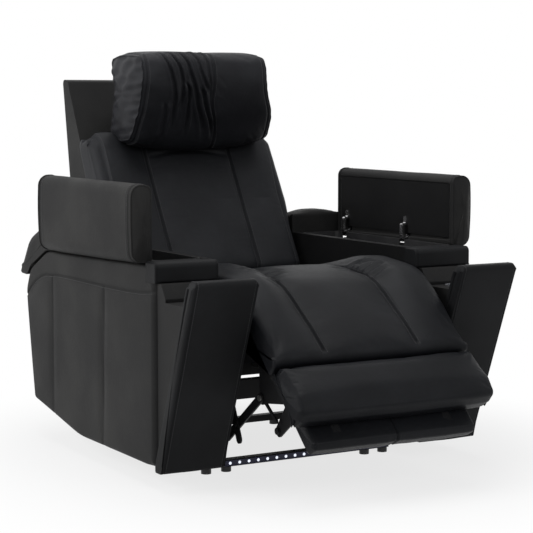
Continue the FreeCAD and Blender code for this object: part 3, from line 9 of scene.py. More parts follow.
import bmesh
import bpy
import numpy as np
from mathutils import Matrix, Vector


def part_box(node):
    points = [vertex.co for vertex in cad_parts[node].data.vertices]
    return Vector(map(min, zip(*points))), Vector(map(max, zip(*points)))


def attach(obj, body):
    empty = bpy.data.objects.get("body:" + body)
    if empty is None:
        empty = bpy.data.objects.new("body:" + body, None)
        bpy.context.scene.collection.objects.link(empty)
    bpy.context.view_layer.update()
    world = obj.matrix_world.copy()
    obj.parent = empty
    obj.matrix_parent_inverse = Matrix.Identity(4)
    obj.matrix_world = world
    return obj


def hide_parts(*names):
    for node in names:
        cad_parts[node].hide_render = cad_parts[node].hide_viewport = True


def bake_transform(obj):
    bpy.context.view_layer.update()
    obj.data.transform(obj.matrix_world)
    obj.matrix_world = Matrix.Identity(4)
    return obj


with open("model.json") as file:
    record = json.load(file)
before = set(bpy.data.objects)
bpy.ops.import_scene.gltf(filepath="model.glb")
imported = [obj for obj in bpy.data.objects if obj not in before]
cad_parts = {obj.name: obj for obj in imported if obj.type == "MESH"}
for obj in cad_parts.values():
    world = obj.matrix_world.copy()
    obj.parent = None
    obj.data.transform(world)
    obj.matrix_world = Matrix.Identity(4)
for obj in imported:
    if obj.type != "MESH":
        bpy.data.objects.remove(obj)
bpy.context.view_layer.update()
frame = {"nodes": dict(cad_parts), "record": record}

# %% [markdown]
# The photograph was taken with a long lens, a little above the seat, from the front and to one side.
# The camera's place comes from the picture's own parallel edges. A long lens keeps the arms parallel.

# %% Camera
camera_data = bpy.data.cameras.new("camera")
camera_data.sensor_width = 36.0
camera_data.lens = 112.03
camera_data.clip_end = 60.0
camera = bpy.data.objects.new("camera", camera_data)
camera.location = (-2.363, -4.1156, 1.012)
looks_down, turned_right = 5.73, 29.97
camera.rotation_euler = (math.radians(90 - looks_down), 0.0, math.radians(-turned_right))
bpy.context.scene.collection.objects.link(camera)
bpy.context.scene.camera = camera
print("camera stands", round(camera.location.length, 2), "m from the chair")

# %% [markdown]
# Every finish is a small sum of noises and masks. Written with plain node calls such a sum is hard to
# read, so a socket is wrapped in a class: + - * on it add Math nodes, and one method makes any other node.


# %% Sockets as numbers
class Signal:
    """An output socket of one material. Arithmetic adds Math nodes, also with the number written first."""

    def __init__(self, tree, socket=None):
        self.tree, self.socket = tree, socket

    def node(self, kind, settings=None, inputs=None, output=0):
        """Any node: its type, its settings, then the values or links of its sockets."""
        made = self.tree.nodes.new(kind)
        for key, value in (settings or {}).items():
            setattr(made, key, value)
        for key, value in (inputs or {}).items():
            if isinstance(value, Signal):
                self.tree.links.new(value.socket, made.inputs[key])
            else:
                made.inputs[key].default_value = value
        return Signal(self.tree, made.outputs[output] if len(made.outputs) else None)

    def math(self, operation, *values):
        """A Math node on the values, in order."""
        return self.node("ShaderNodeMath", {"operation": operation}, dict(enumerate(values)))

    def __add__(self, other):
        return self.math("ADD", self, other)

    def __sub__(self, other):
        return self.math("SUBTRACT", self, other)

    def __mul__(self, other):
        return self.math("MULTIPLY", self, other)

    def __rsub__(self, other):
        return self.math("SUBTRACT", other, self)

    __radd__, __rmul__ = __add__, __mul__

    def between(self, low, high):
        """0 below low, 1 above high and a smooth step between them."""
        settings = {"interpolation_type": "SMOOTHSTEP"}
        return self.node("ShaderNodeMapRange", settings, {0: self, 1: low, 2: high, 3: 0.0, 4: 1.0})


print("signals can be added, subtracted, multiplied and turned into a smooth step")

# %% [markdown]
# Each finish starts from Blender's Principled shader. Its plain numbers are set when it is made, and its
# colour, roughness and normal are driven by signals, so that no surface is quite even.


# %% A finish and its shader
def blend_colours(factor, first, second):
    """The first colour where the factor is 0, the second where it is 1."""
    settings = {"data_type": "RGBA"}
    return factor.node("ShaderNodeMix", settings, {0: factor, 6: (*first, 1.0), 7: (*second, 1.0)}, 2)


def new_finish(name, **constants):
    """A material with its Principled shader, whose plain numbers are set on its own sockets."""
    finish = bpy.data.materials.new(name)
    finish.use_nodes = True
    shader = finish.node_tree.nodes["Principled BSDF"]
    for key, value in constants.items():
        shader.inputs[key.replace("_", " ").title().replace("Ior", "IOR")].default_value = value
    return finish, shader, Signal(finish.node_tree)


def drive(shader, name, signal):
    """Link a signal to one of the shader's sockets."""
    signal.tree.links.new(signal.socket, shader.inputs[name])


def bump(signal, distance, strength, below=None):
    """A Bump node on a height signal, over another bump if one is given."""
    inputs = {"Height": signal, "Distance": distance, "Strength": strength}
    if below is not None:
        inputs["Normal"] = below
    return signal.node("ShaderNodeBump", None, inputs)


print("finishes can be made, driven and given a relief")

# %% [markdown]
# Upholstery leather is dyed black and then lightly polished by use. Close up it has pebbles about a
# millimetre across, parted by fine creases; from further away it shows broad, soft changes of shade, a
# darker line in every seam, and a little more shine where the broad shade is paler. The pebbles are a
# Voronoi pattern that a finer noise roughens. The seams come from an attribute that each soft piece carries.

# %% Leather
leather_gloss = 0.09
pebble_height, crease_height = 0.00028, 0.0009


def leather(name, shade, worn_shade, roughness, pebble=620.0):
    """Black leather: pebbles and creases as bump, broad change of shade, darker and rougher seams."""
    finish, shader, start = new_finish(name, specular_ior_level=leather_gloss)
    place = start.node("ShaderNodeTexCoord", output=3)
    seam = start.node("ShaderNodeAttribute", {"attribute_name": "seam"}, output=2)
    cloud = start.node("ShaderNodeTexNoise", None, {"Vector": place, "Scale": 5.5, "Detail": 4.0})
    fine = start.node("ShaderNodeTexNoise", None, {"Vector": place, "Scale": 90.0, "Detail": 5.0})
    cells = start.node("ShaderNodeTexVoronoi", {"feature": "F1"}, {"Vector": place, "Scale": pebble})
    grit = start.node("ShaderNodeTexNoise", None, {"Vector": place, "Scale": pebble * 3.1, "Detail": 2.0})
    broad = cloud.between(0.35, 0.68)
    worn = broad * 0.75 + fine.between(0.45, 0.7) * 0.25
    # Where the seam mark is high the paler shade is taken out: a dark line in each seam, and on the pillow painted
    # shade in the valleys of its folds.
    worn = worn * (1 - seam * 0.9)
    drive(shader, "Base Color", blend_colours(worn, shade, worn_shade))
    drive(shader, "Roughness", roughness + fine * 0.10 - broad * 0.05 + seam * 0.15)
    pebbles = 1 - cells * 1.4
    grain = bump(pebbles + grit * 0.45, pebble_height, 0.55)
    creases = bump(fine, crease_height, 0.35, grain)
    drive(shader, "Normal", creases)
    return finish


# One black leather in lit and shaded copies, each set to how light falls on its pieces. The slab copy (also on the
# bins' front blocks), the seat copy (also on the foot and extension pads) and the lining copy (covered boards and the
# headrest collar) are darker, which is painted shade. The back and pillow copies are a little paler and bluer, which
# is painted light.
body_leather = leather("body_leather", (0.0115, 0.0115, 0.0117), (0.0180, 0.0178, 0.0173), 0.52)
shaded_slab_leather = leather("shaded_slab_leather", (0.0062, 0.0064, 0.0070), (0.0100, 0.0104, 0.0114), 0.52)
shaded_seat_leather = leather("shaded_seat_leather", (0.0050, 0.0054, 0.0066), (0.0092, 0.0098, 0.0116), 0.42, 560.0)
lit_back_leather = leather("lit_back_leather", (0.0120, 0.0125, 0.0142), (0.0195, 0.0203, 0.0228), 0.44, 560.0)
lit_pillow_leather = leather("lit_pillow_leather", (0.0120, 0.0123, 0.0142), (0.0200, 0.0205, 0.0235), 0.42, 560.0)
shaded_lining_leather = leather("shaded_lining_leather", (0.0040, 0.0040, 0.0043), (0.0070, 0.0070, 0.0074), 0.54, 700.0)
print("leathers: body, slab, seat, back, pillow, lining")

# %% [markdown]
# Under the leather is a frame of birch plywood. Its grain is long and thin, so a noise is stretched along
# Y, and the same noise lifts the fibres a little. A photograph of wood would look alike from close by,
# but it would need a map of where it lies on each board.


# %% Plywood
def birch_board():
    """Bare plywood: long grain from noise stretched along Y, pores as bump."""
    finish, shader, start = new_finish("birch_board", specular_ior_level=0.3)
    place = start.node("ShaderNodeTexCoord", output=3)
    long = start.node("ShaderNodeMapping", None, {"Vector": place, "Scale": (60.0, 4.0, 60.0)})
    grain = start.node("ShaderNodeTexNoise", None, {"Vector": long, "Scale": 1.0, "Detail": 6.0})
    drive(shader, "Base Color", blend_colours(grain.between(0.3, 0.72), (0.46, 0.33, 0.20), (0.29, 0.19, 0.105)))
    drive(shader, "Roughness", 0.55 + grain * 0.2)
    drive(shader, "Normal", bump(grain, 0.0004, 0.5))
    return finish


board = birch_board()
print("wood:", board.name)

# %% [markdown]
# The mechanism is pressed from sheet steel and powder coated. Powder flows into a fine orange peel when it
# is baked, and where links rub on each other the coat wears to grey. Pins, hinges and the cup holders
# are plated or bare: the same shader with a cloudy roughness and fine scratches along the chair.


# %% Painted and plated steel
def painted_steel():
    """Black powder coat with an orange peel, and a few grey rubbed spots."""
    finish, shader, start = new_finish("painted_steel", specular_ior_level=0.18)
    place = start.node("ShaderNodeTexCoord", output=3)
    peel = start.node("ShaderNodeTexNoise", None, {"Vector": place, "Scale": 420.0, "Detail": 2.0})
    rub = start.node("ShaderNodeTexNoise", None, {"Vector": place, "Scale": 34.0, "Detail": 6.0})
    spots = rub.between(0.66, 0.72)
    drive(shader, "Base Color", blend_colours(spots, (0.0072, 0.0072, 0.0078), (0.0510, 0.0498, 0.0480)))
    drive(shader, "Metallic", spots * 0.7)
    drive(shader, "Roughness", 0.42 + peel * 0.16)
    drive(shader, "Normal", bump(peel, 0.0002, 0.4))
    return finish


def plated(name, shade, dark, low, high, scratch=900.0):
    """Bare metal: cloudy roughness and fine scratches along Y."""
    finish, shader, start = new_finish(name, metallic=1.0)
    place = start.node("ShaderNodeTexCoord", output=3)
    cloud = start.node("ShaderNodeTexNoise", None, {"Vector": place, "Scale": 60.0, "Detail": 5.0})
    lines = start.node("ShaderNodeMapping", None, {"Vector": place, "Scale": (scratch, 30.0, scratch)})
    marks = start.node("ShaderNodeTexNoise", None, {"Vector": lines, "Scale": 1.0, "Detail": 2.0})
    drive(shader, "Base Color", blend_colours(cloud.between(0.35, 0.7), shade, dark))
    drive(shader, "Roughness", low + cloud * (high - low))
    drive(shader, "Normal", bump(marks, 0.00005, 0.35))
    return finish


steel = painted_steel()
zinc = plated("zinc_plate", (0.60, 0.60, 0.58), (0.42, 0.42, 0.40), 0.25, 0.5)
chrome = plated("chrome_plate", (0.86, 0.86, 0.87), (0.74, 0.74, 0.75), 0.14, 0.32)
cup_steel = plated("satin_cup_steel", (0.56, 0.57, 0.60), (0.44, 0.45, 0.48), 0.24, 0.40)
print("metals:", [m.name for m in (steel, zinc, chrome, cup_steel)])

# %% [markdown]
# Covers of motors, the switch panel and its keys are moulded. The mould's face is spark eroded, which
# leaves a very fine, even roughness, and hands leave faint paler marks on it.


# %% Plastics
def moulded(name, shade, pale, roughness):
    """Moulded plastic with a fine spark texture and faint handling marks."""
    finish, shader, start = new_finish(name, specular_ior_level=0.4)
    place = start.node("ShaderNodeTexCoord", output=3)
    spark = start.node("ShaderNodeTexNoise", None, {"Vector": place, "Scale": 1500.0, "Detail": 1.0})
    marks = start.node("ShaderNodeTexNoise", None, {"Vector": place, "Scale": 25.0, "Detail": 5.0})
    drive(shader, "Base Color", blend_colours(marks.between(0.45, 0.75), shade, pale))
    drive(shader, "Roughness", roughness + spark * 0.15)
    drive(shader, "Normal", bump(spark, 0.0001, 0.4))
    return finish


plastic = moulded("black_plastic", (0.012, 0.012, 0.013), (0.022, 0.022, 0.023), 0.42)
strip_plastic = moulded("strip_plastic", (0.008, 0.010, 0.050), (0.012, 0.014, 0.075), 0.25)
key_rubber = moulded("key_rubber", (0.10, 0.10, 0.11), (0.15, 0.15, 0.16), 0.55)
print("plastics:", [m.name for m in (plastic, strip_plastic, key_rubber)])

# %% [markdown]
# The seat hangs on elastic webbing, a plain weave of flat yarns, and boards that nobody should see are
# covered in black dust cloth. Two waves, one across the other, give the ribs of both.


# %% Webbing and dust cloth
def weave(name, shade, pale, warp_scale, weft_scale):
    """Woven cloth: ribs of both yarns from two crossed waves."""
    finish, shader, start = new_finish(name, sheen_weight=0.02, specular_ior_level=0.1)
    place = start.node("ShaderNodeTexCoord", output=3)
    warp = start.node("ShaderNodeTexWave", {"bands_direction": "X"}, {"Vector": place, "Scale": warp_scale})
    weft = start.node("ShaderNodeTexWave", {"bands_direction": "Y"}, {"Vector": place, "Scale": weft_scale})
    ribs = warp * 0.5 + weft * 0.5
    drive(shader, "Base Color", blend_colours(ribs.between(0.3, 0.8), shade, pale))
    drive(shader, "Roughness", 0.75 + ribs * 0.15)
    drive(shader, "Normal", bump(ribs, 0.0006, 0.7))
    return finish


webbing = weave("elastic_webbing", (0.17, 0.16, 0.14), (0.36, 0.34, 0.30), 160.0, 95.0)
dust_cloth = weave("dust_cloth", (0.006, 0.006, 0.007), (0.014, 0.014, 0.015), 300.0, 300.0)
print("cloths:", webbing.name, dust_cloth.name)

# %% [markdown]
# Sewing thread is bonded nylon, a shade lighter than the leather, with a faint twist. The lamps under the
# chair are small white light-emitting diodes behind a clear lens. They light nothing else that can be
# seen, so they are simply bright surfaces and no lamps of Blender's.


# %% Thread and lit lenses
def sewing_thread():
    """Dark bonded thread with a faint twist."""
    finish, shader, start = new_finish("sewing_thread", specular_ior_level=0.35, sheen_weight=0.15)
    place = start.node("ShaderNodeTexCoord", output=3)
    twist = start.node("ShaderNodeTexNoise", None, {"Vector": place, "Scale": 2600.0, "Detail": 1.0})
    shade = blend_colours(twist.between(0.35, 0.65), (0.020, 0.020, 0.022), (0.045, 0.045, 0.048))
    drive(shader, "Base Color", shade)
    drive(shader, "Roughness", 0.45 + twist * 0.2)
    drive(shader, "Normal", bump(twist, 0.0001, 0.5))
    return finish


def lamp_glow():
    """A lit diode: cool white, a little bluer in places."""
    finish, shader, start = new_finish("lamp_glow", roughness=0.2, emission_strength=1.0)
    place = start.node("ShaderNodeTexCoord", output=3)
    cloud = start.node("ShaderNodeTexNoise", None, {"Vector": place, "Scale": 500.0, "Detail": 1.0})
    glow = blend_colours(cloud.between(0.3, 0.7), (0.80, 0.86, 1.0), (0.92, 0.95, 1.0))
    drive(shader, "Emission Color", glow)
    drive(shader, "Base Color", glow)
    return finish


thread = sewing_thread()
glow = lamp_glow()
print("thread and lenses:", thread.name, glow.name)

# %% [markdown]
# The hard pieces keep their CAD shapes. They only need a finish, chosen by the record's material slot. The
# seat's frame is covered with dust cloth, which is what shows of it through the gap beside the seat.

# %% Finishes for the carried-over nodes
slot_finishes = {
    "leather": body_leather, "cushion": shaded_seat_leather, "board": board, "steel": steel, "zinc": zinc,
    "chrome": chrome, "plastic": plastic, "strip": strip_plastic, "cup": cup_steel, "webbing": webbing,
    "button": key_rubber, "covered_board": shaded_lining_leather, "cloth_board": dust_cloth,
}
slot_of = {part["node"]: part["material_slot"] for part in frame["record"]["subparts"]}
for node_name, node_object in frame["nodes"].items():
    finish = dust_cloth if node_name == "seat_frame" else slot_finishes[slot_of[node_name]]
    for material_slot in node_object.material_slots:
        material_slot.material = finish
print("painted", len(frame["nodes"]), "nodes")

# %% [markdown]
# Most soft pieces here are the same idea: a side outline with rounded corners, carried across the piece
# and drawn in towards its ends. The outline is worked out once as an even ring of points.


# %% Outlines
def ring(corners, radii, count):
    """Closed outline of count even points: straight runs joined by tangent circular arcs.

    An arc is a rational quadratic curve over its corner, with the sine of half the corner's angle as weight.
    """
    corners = np.asarray(corners, float)
    back = np.roll(corners, 1, axis=0) - corners
    ahead = np.roll(corners, -1, axis=0) - corners
    back_run, ahead_run = np.linalg.norm(back, axis=1), np.linalg.norm(ahead, axis=1)
    back, ahead = back / back_run[:, None], ahead / ahead_run[:, None]
    half = np.arccos(np.clip((back * ahead).sum(axis=1), -1, 1)) / 2
    radius = np.minimum(radii, 0.48 * np.minimum(back_run, ahead_run) * np.tan(half))
    reach = (radius / np.tan(half))[:, None]
    t = np.linspace(0, 1, 13)[None, :, None]
    weight = np.sin(half)[:, None, None]
    first, middle, last = (1 - t) ** 2, 2 * t * (1 - t) * weight, t ** 2
    points = first * (corners + back * reach)[:, None] + middle * corners[:, None]
    points = (points + last * (corners + ahead * reach)[:, None]) / (first + middle + last)
    points = points.reshape(-1, 2)
    closed = np.vstack([points, points[:1]])
    travel = np.concatenate([[0], np.cumsum(np.linalg.norm(np.diff(closed, axis=0), axis=1))])
    even = np.linspace(0, travel[-1], count, endpoint=False)
    return np.column_stack([np.interp(even, travel, closed[:, 0]), np.interp(even, travel, closed[:, 1])])


def outward(points):
    """Outward normal at each point of a closed outline, square to the chord of its neighbours."""
    run = np.roll(points, -1, axis=0) - np.roll(points, 1, axis=0)
    following = np.roll(points, -1, axis=0)
    area = (points[:, 0] * following[:, 1] - following[:, 0] * points[:, 1]).sum()
    normal = np.column_stack([run[:, 1], -run[:, 0]]) * np.sign(area)
    return normal / np.linalg.norm(normal, axis=1)[:, None]


def smooth_step(value, low, high):
    """0 below low, 1 above high, 3t^2 - 2t^3 between."""
    t = np.clip((value - low) / (high - low), 0, 1)
    return t * t * (3 - 2 * t)


def mm(*values):
    """Millimetres to metres."""
    return np.asarray(values, float) / 1000


print("a square with round corners measures", ring([(0, 0), (1, 0), (1, 1), (0, 1)], [0.1] * 4, 8).round(2)[0])

# %% [markdown]
# A grid of points becomes a mesh in one call. Where the grid closes on itself its last column joins the
# first, and where it ends in a pole a fan of triangles closes it. The signed volume says whether the
# faces point outwards, and if they don't, they are all turned round.


# %% Grids to meshes
def grid_faces(rows, columns, wrap):
    """Corner numbers of the quads between neighbouring rows and columns."""
    index = np.arange(rows * columns).reshape(rows, columns)
    if wrap:
        index = np.hstack([index, index[:, :1]])
    return np.stack([index[:-1, :-1], index[:-1, 1:], index[1:, 1:], index[1:, :-1]], axis=-1).reshape(-1, 4)


def make_mesh(name, points, quads, triangles, finish):
    """A smooth-shaded object from points, quads and triangles, its faces turned outwards."""
    quads, triangles = np.asarray(quads, int).reshape(-1, 4), np.asarray(triangles, int).reshape(-1, 3)
    corners = np.vstack([quads[:, :3], quads[:, [0, 2, 3]], triangles])
    a, b, c = points[corners[:, 0]], points[corners[:, 1]], points[corners[:, 2]]
    if (a * np.cross(b, c)).sum() < 0:
        quads, triangles = quads[:, ::-1], triangles[:, ::-1]
    mesh = bpy.data.meshes.new(name)
    mesh.from_pydata(points.tolist(), [], quads.tolist() + triangles.tolist())
    mesh.polygons.foreach_set("use_smooth", np.ones(len(mesh.polygons), bool))
    mesh.materials.append(finish)
    made = bpy.data.objects.new(name, mesh)
    bpy.context.scene.collection.objects.link(made)
    return made


print("a grid of 3 by 4 points has", len(grid_faces(3, 4, False)), "faces")

# %% [markdown]
# From here on a piece is changed as one array: its points are read, moved by a formula and written back,
# which is far quicker than a loop over vertices. A finished piece is then told in one line which body
# carries it and which CAD nodes it stands for.


# %% Points of a mesh
def corners_of(piece):
    """The piece's points as one array."""
    values = np.zeros(len(piece.data.vertices) * 3)
    piece.data.vertices.foreach_get("co", values)
    return values.reshape(-1, 3)


def normals_of(piece):
    """The normals at the piece's points as one array."""
    values = np.zeros(len(piece.data.vertices) * 3)
    piece.data.vertex_normals.foreach_get("vector", values)
    return values.reshape(-1, 3)


def set_corners(piece, points):
    """Move all the piece's points at once."""
    piece.data.vertices.foreach_set("co", points.ravel())
    piece.data.update()


def mark_seams(piece, amount):
    """Store how deep in a seam each point lies, for the leather's finish, which darkens seams; on the pillow it also
    holds painted shade for the valleys of the folds.
    """
    layer = piece.data.attributes.get("seam") or piece.data.attributes.new("seam", "FLOAT", "POINT")
    layer.data.foreach_set("value", np.clip(amount, 0, 1).astype(np.float32))


def apply_modifiers(piece):
    """Make what the modifiers show the piece's own mesh."""
    shown = piece.evaluated_get(bpy.context.evaluated_depsgraph_get())
    mesh = bpy.data.meshes.new_from_object(shown)
    piece.modifiers.clear()
    piece.data = mesh


def dress(piece, body, *nodes, fill=None, slot="leather"):
    """The piece rides on its body and stands for its CAD nodes; its slot is not used."""
    if body:
        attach(piece, body)
    if nodes:
        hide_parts(*nodes)
    return piece


print("helpers for meshes are ready")

# %% [markdown]
# A cushion is a ring carried across the piece. At each station the ring is drawn in along its normals
# by the crown, so the form is plump in the middle, and beyond the last station it closes in a shallow
# dome, the gusset. The class keeps the grid, so that seams can be read from it later, after the
# cushion has been blown up.


# %% Cushions
class Cushion:
    """Ring points drawn in by weight times crown(x) at each station x, closed by domes at both ends."""

    def __init__(self, name, outline, weights, stations, crown, finish, dome=0.006, dome_rings=7, swap=False):
        self.outline, self.stations, self.swap = outline, stations, swap
        self.count = len(outline)
        drawn = (weights[None, :] * crown(stations[:, None]))[..., None]
        section = outline[None] - outward(outline)[None] * drawn
        middle = section.mean(axis=1, keepdims=True)
        shrink = np.cos(np.linspace(0, np.pi / 2, dome_rings + 1))[1:-1, None, None]
        first = middle[0] + (section[0] - middle[0]) * shrink
        last = middle[-1] + (section[-1] - middle[-1]) * shrink
        bulge = dome * (1 - shrink[:, 0, 0] ** 2)
        section = np.concatenate([first[::-1], section, last])
        across = np.concatenate([(stations[0] - bulge)[::-1], stations, stations[-1] + bulge])
        self.rings = len(across)
        self.first_row = len(first)
        across = np.broadcast_to(across[:, None], section.shape[:2])
        grid = np.stack([across, section[..., 0], section[..., 1]], axis=-1)
        poles = np.array([[stations[0] - dome, *middle[0, 0]], [stations[-1] + dome, *middle[-1, 0]]])
        points = np.vstack([grid.reshape(-1, 3), poles])
        if swap:
            points = points[:, [1, 0, 2]]
        around = np.arange(self.count)
        following = (around + 1) % self.count
        base = (self.rings - 1) * self.count
        low_pole, high_pole = self.rings * self.count, self.rings * self.count + 1
        fans = np.vstack([
            np.column_stack([following, around, np.full(self.count, low_pole)]),
            np.column_stack([base + around, base + following, np.full(self.count, high_pole)]),
        ])
        self.piece = make_mesh(name, points, grid_faces(self.rings, self.count, True), fans, finish)

    def on_grid(self, values):
        """Values of the mesh's points as stations by ring points by coordinates, without the end domes."""
        values = values[:self.rings * self.count].reshape(self.rings, self.count, 3)
        return values[self.first_row:self.first_row + len(self.stations)]

    def line(self, x, start, stop, lift):
        """A line across the stations' grid at x, from one ring point to another, lifted off the surface."""
        columns = np.arange(start, stop + 1) % self.count
        place = np.interp(x, self.stations, np.arange(len(self.stations)))
        low = int(min(math.floor(place), len(self.stations) - 2))
        share = place - low
        grid, normals = self.on_grid(corners_of(self.piece)), self.on_grid(normals_of(self.piece))
        path = grid[low, columns] * (1 - share) + grid[low + 1, columns] * share
        normal = normals[low, columns] * (1 - share) + normals[low + 1, columns] * share
        normal /= np.linalg.norm(normal, axis=1)[:, None]
        return path + normal * lift, normal


print("a cushion is a ring carried along its stations")

# %% [markdown]
# A cushion is plump in its middle and thin at its ends, so its crown is a function of the place across it.
# A superellipse stays flat for long and rolls over late if its power is high, like a firm board, and early
# if it is low, like a soft pad. Stations lie close together at the ends and beside seams, where it bends.


# %% Crowns and stations
def superellipse(depth, half, power, middle=0.0):
    """A crown: depth * (1 - (1 - t^power)^(1/power)), with t the share of the way from middle to an end."""
    return lambda x: depth * (1 - (1 - np.clip(np.abs(x - middle) / half, 0, 1) ** power) ** (1 / power))


def stations_between(half, seams, pitch, fine):
    """Stations from -half to half, close together at the ends and beside each seam."""
    ends = half * (1 - (1 - np.linspace(0, 1, 9)) ** 2)
    marks = [np.arange(-half, half + pitch / 2, pitch), half - ends * 0.12, ends * 0.12 - half]
    marks += [np.linspace(s - 3 * fine, s + 3 * fine, 7) for s in seams]
    values = np.unique(np.round(np.clip(np.concatenate(marks), -half, half), 5))
    keep = np.concatenate([[True], np.diff(values) > fine * 0.45])
    return values[keep]


print("stations of a 600 mm seat:", len(stations_between(0.3, (-0.145, 0.145), 0.012, 0.003)))

# %% [markdown]
# Leather is pulled tight over foam and swells between its seams. Blender's cloth does this well: the
# cushion is blown up from inside for sixteen frames while its seams and its underside are held, and
# no point may travel further than a cap. The result is written straight back into the mesh.

# %% Blowing up a cushion
puff_frames = 16


def puff(piece, held, cap, pressure, grow=0.0):
    """Cloth pressure from inside with some points held; no point moves further than the cap."""
    start = corners_of(piece)
    group = piece.vertex_groups.new(name="held")
    group.add(np.nonzero(held)[0].tolist(), 1.0, "REPLACE")
    cloth = piece.modifiers.new("puff", "CLOTH")
    cloth.settings.quality = 5
    cloth.settings.mass = 0.3
    cloth.settings.tension_stiffness = 18
    cloth.settings.compression_stiffness = 12
    cloth.settings.bending_stiffness = 0.6
    cloth.settings.use_pressure = True
    cloth.settings.uniform_pressure_force = pressure
    cloth.settings.shrink_min = -grow
    cloth.settings.vertex_group_mass = "held"
    cloth.settings.effector_weights.gravity = 0
    cloth.point_cache.frame_start = 1
    cloth.point_cache.frame_end = puff_frames
    for step in range(1, puff_frames + 1):
        bpy.context.scene.frame_set(step)
    shown = piece.evaluated_get(bpy.context.evaluated_depsgraph_get())
    values = np.zeros(len(start) * 3)
    shown.data.vertices.foreach_get("co", values)
    piece.modifiers.remove(cloth)
    piece.vertex_groups.clear()
    bpy.context.scene.frame_set(1)
    shift = values.reshape(-1, 3) - start
    length = np.linalg.norm(shift, axis=1)[:, None]
    shift *= cap * np.tanh(length / cap) / np.maximum(length, 1e-9)
    set_corners(piece, start + shift)
    print(piece.name, "swelled by at most", round(float(length.max()) * 1000, 1), "mm, kept to", cap * 1000)


print("cushions are blown up over", puff_frames, "frames")

# %% [markdown]
# Grooves, folds and pulls in leather are only a few millimetres deep. A sculpting brush could press them
# in, but a formula can be read and changed: each point moves along its normal by a depth, and the depth
# is a sum of bells round seams and creases. Creases are drawn on the unrolled cushion, as on the cut hide.


# %% Carving and creasing
def carve(piece, depth):
    """Move each point inwards along its normal by its depth."""
    set_corners(piece, corners_of(piece) - normals_of(piece) * depth[:, None])


def seam_dent(distance, width):
    """A groove's share of its depth at a distance from the seam: one in the seam, falling as a bell."""
    return np.exp(-(distance / width) ** 2)


def distance_to(points, path):
    """Distance of each point to a polyline, over all its segments at once."""
    start, run = path[:-1], np.diff(path, axis=0)
    share = ((points[:, None] - start[None]) * run[None]).sum(-1) / (run ** 2).sum(-1)[None]
    nearest = start[None] + np.clip(share, 0, 1)[..., None] * run[None]
    return np.linalg.norm(points[:, None] - nearest, axis=-1).min(axis=1)


def crease(spots, line, width, bank=0.5):
    """A crease along a line: a bell-shaped valley with a bank on either side, fading at both ends.

    The height at distance d is bank * exp(-((d - 2w) / w)^2) - exp(-(d / w)^2), times the fade.
    """
    line = mm(*line)
    steps = np.linspace(0, len(line) - 1, 8 * len(line))
    path = np.column_stack([np.interp(steps, np.arange(len(line)), line[:, k]) for k in (0, 1)])
    gap = np.linalg.norm(spots[:, None] - path[None], axis=-1)
    nearest = gap.argmin(axis=1)
    gap = distance_to(spots, path)
    share = nearest / (len(path) - 1)
    fade = smooth_step(share, 0.0, 0.16) * (1 - smooth_step(share, 0.84, 1.0))
    return fade * (bank * seam_dent(gap - 2 * width, width) - seam_dent(gap, width))


def spots_on(cushion):
    """Each point's place on the unrolled cushion: its station and how far round the ring it lies."""
    rounds = np.linalg.norm(cushion.outline - np.roll(cushion.outline, 1, axis=0), axis=1)
    along = np.concatenate([[0], np.cumsum(rounds[1:])])
    across = corners_of(cushion.piece)[:, 1 if cushion.swap else 0]
    return np.column_stack([across, np.concatenate([np.tile(along, cushion.rings), [0, 0]])])


print("a groove keeps", round(float(seam_dent(0.004, 0.004)), 2), "of its depth one width away from its seam")

# %% [markdown]
# Every seam here is sewn down with bonded thread, in stitches about six millimetres apart. A particle
# system could scatter them, but they have to lie exactly along the seam and turn with it. So a stitch is a
# short five-sided spindle, and one numpy expression turns and places hundreds of them.


# %% Stitches
def even_path(path, normals, pitch):
    """Points a pitch apart along a path, with their directions and normals."""
    travel = np.concatenate([[0], np.cumsum(np.linalg.norm(np.diff(path, axis=0), axis=1))])
    marks = np.arange(pitch / 2, travel[-1], pitch)
    spots = np.column_stack([np.interp(marks, travel, path[:, k]) for k in range(3)])
    normal = np.column_stack([np.interp(marks, travel, normals[:, k]) for k in range(3)])
    ahead = np.column_stack([np.interp(marks + pitch / 4, travel, path[:, k]) for k in range(3)])
    run = ahead - spots
    run /= np.maximum(np.linalg.norm(run, axis=1), 1e-9)[:, None]
    normal -= run * (normal * run).sum(axis=1)[:, None]
    normal /= np.maximum(np.linalg.norm(normal, axis=1), 1e-9)[:, None]
    return spots, run, normal


stitch_pitch, stitch_length, stitch_radius, stitch_lift = 0.0062, 0.0042, 0.00055, 0.0003
seam_to_stitch = 0.0075


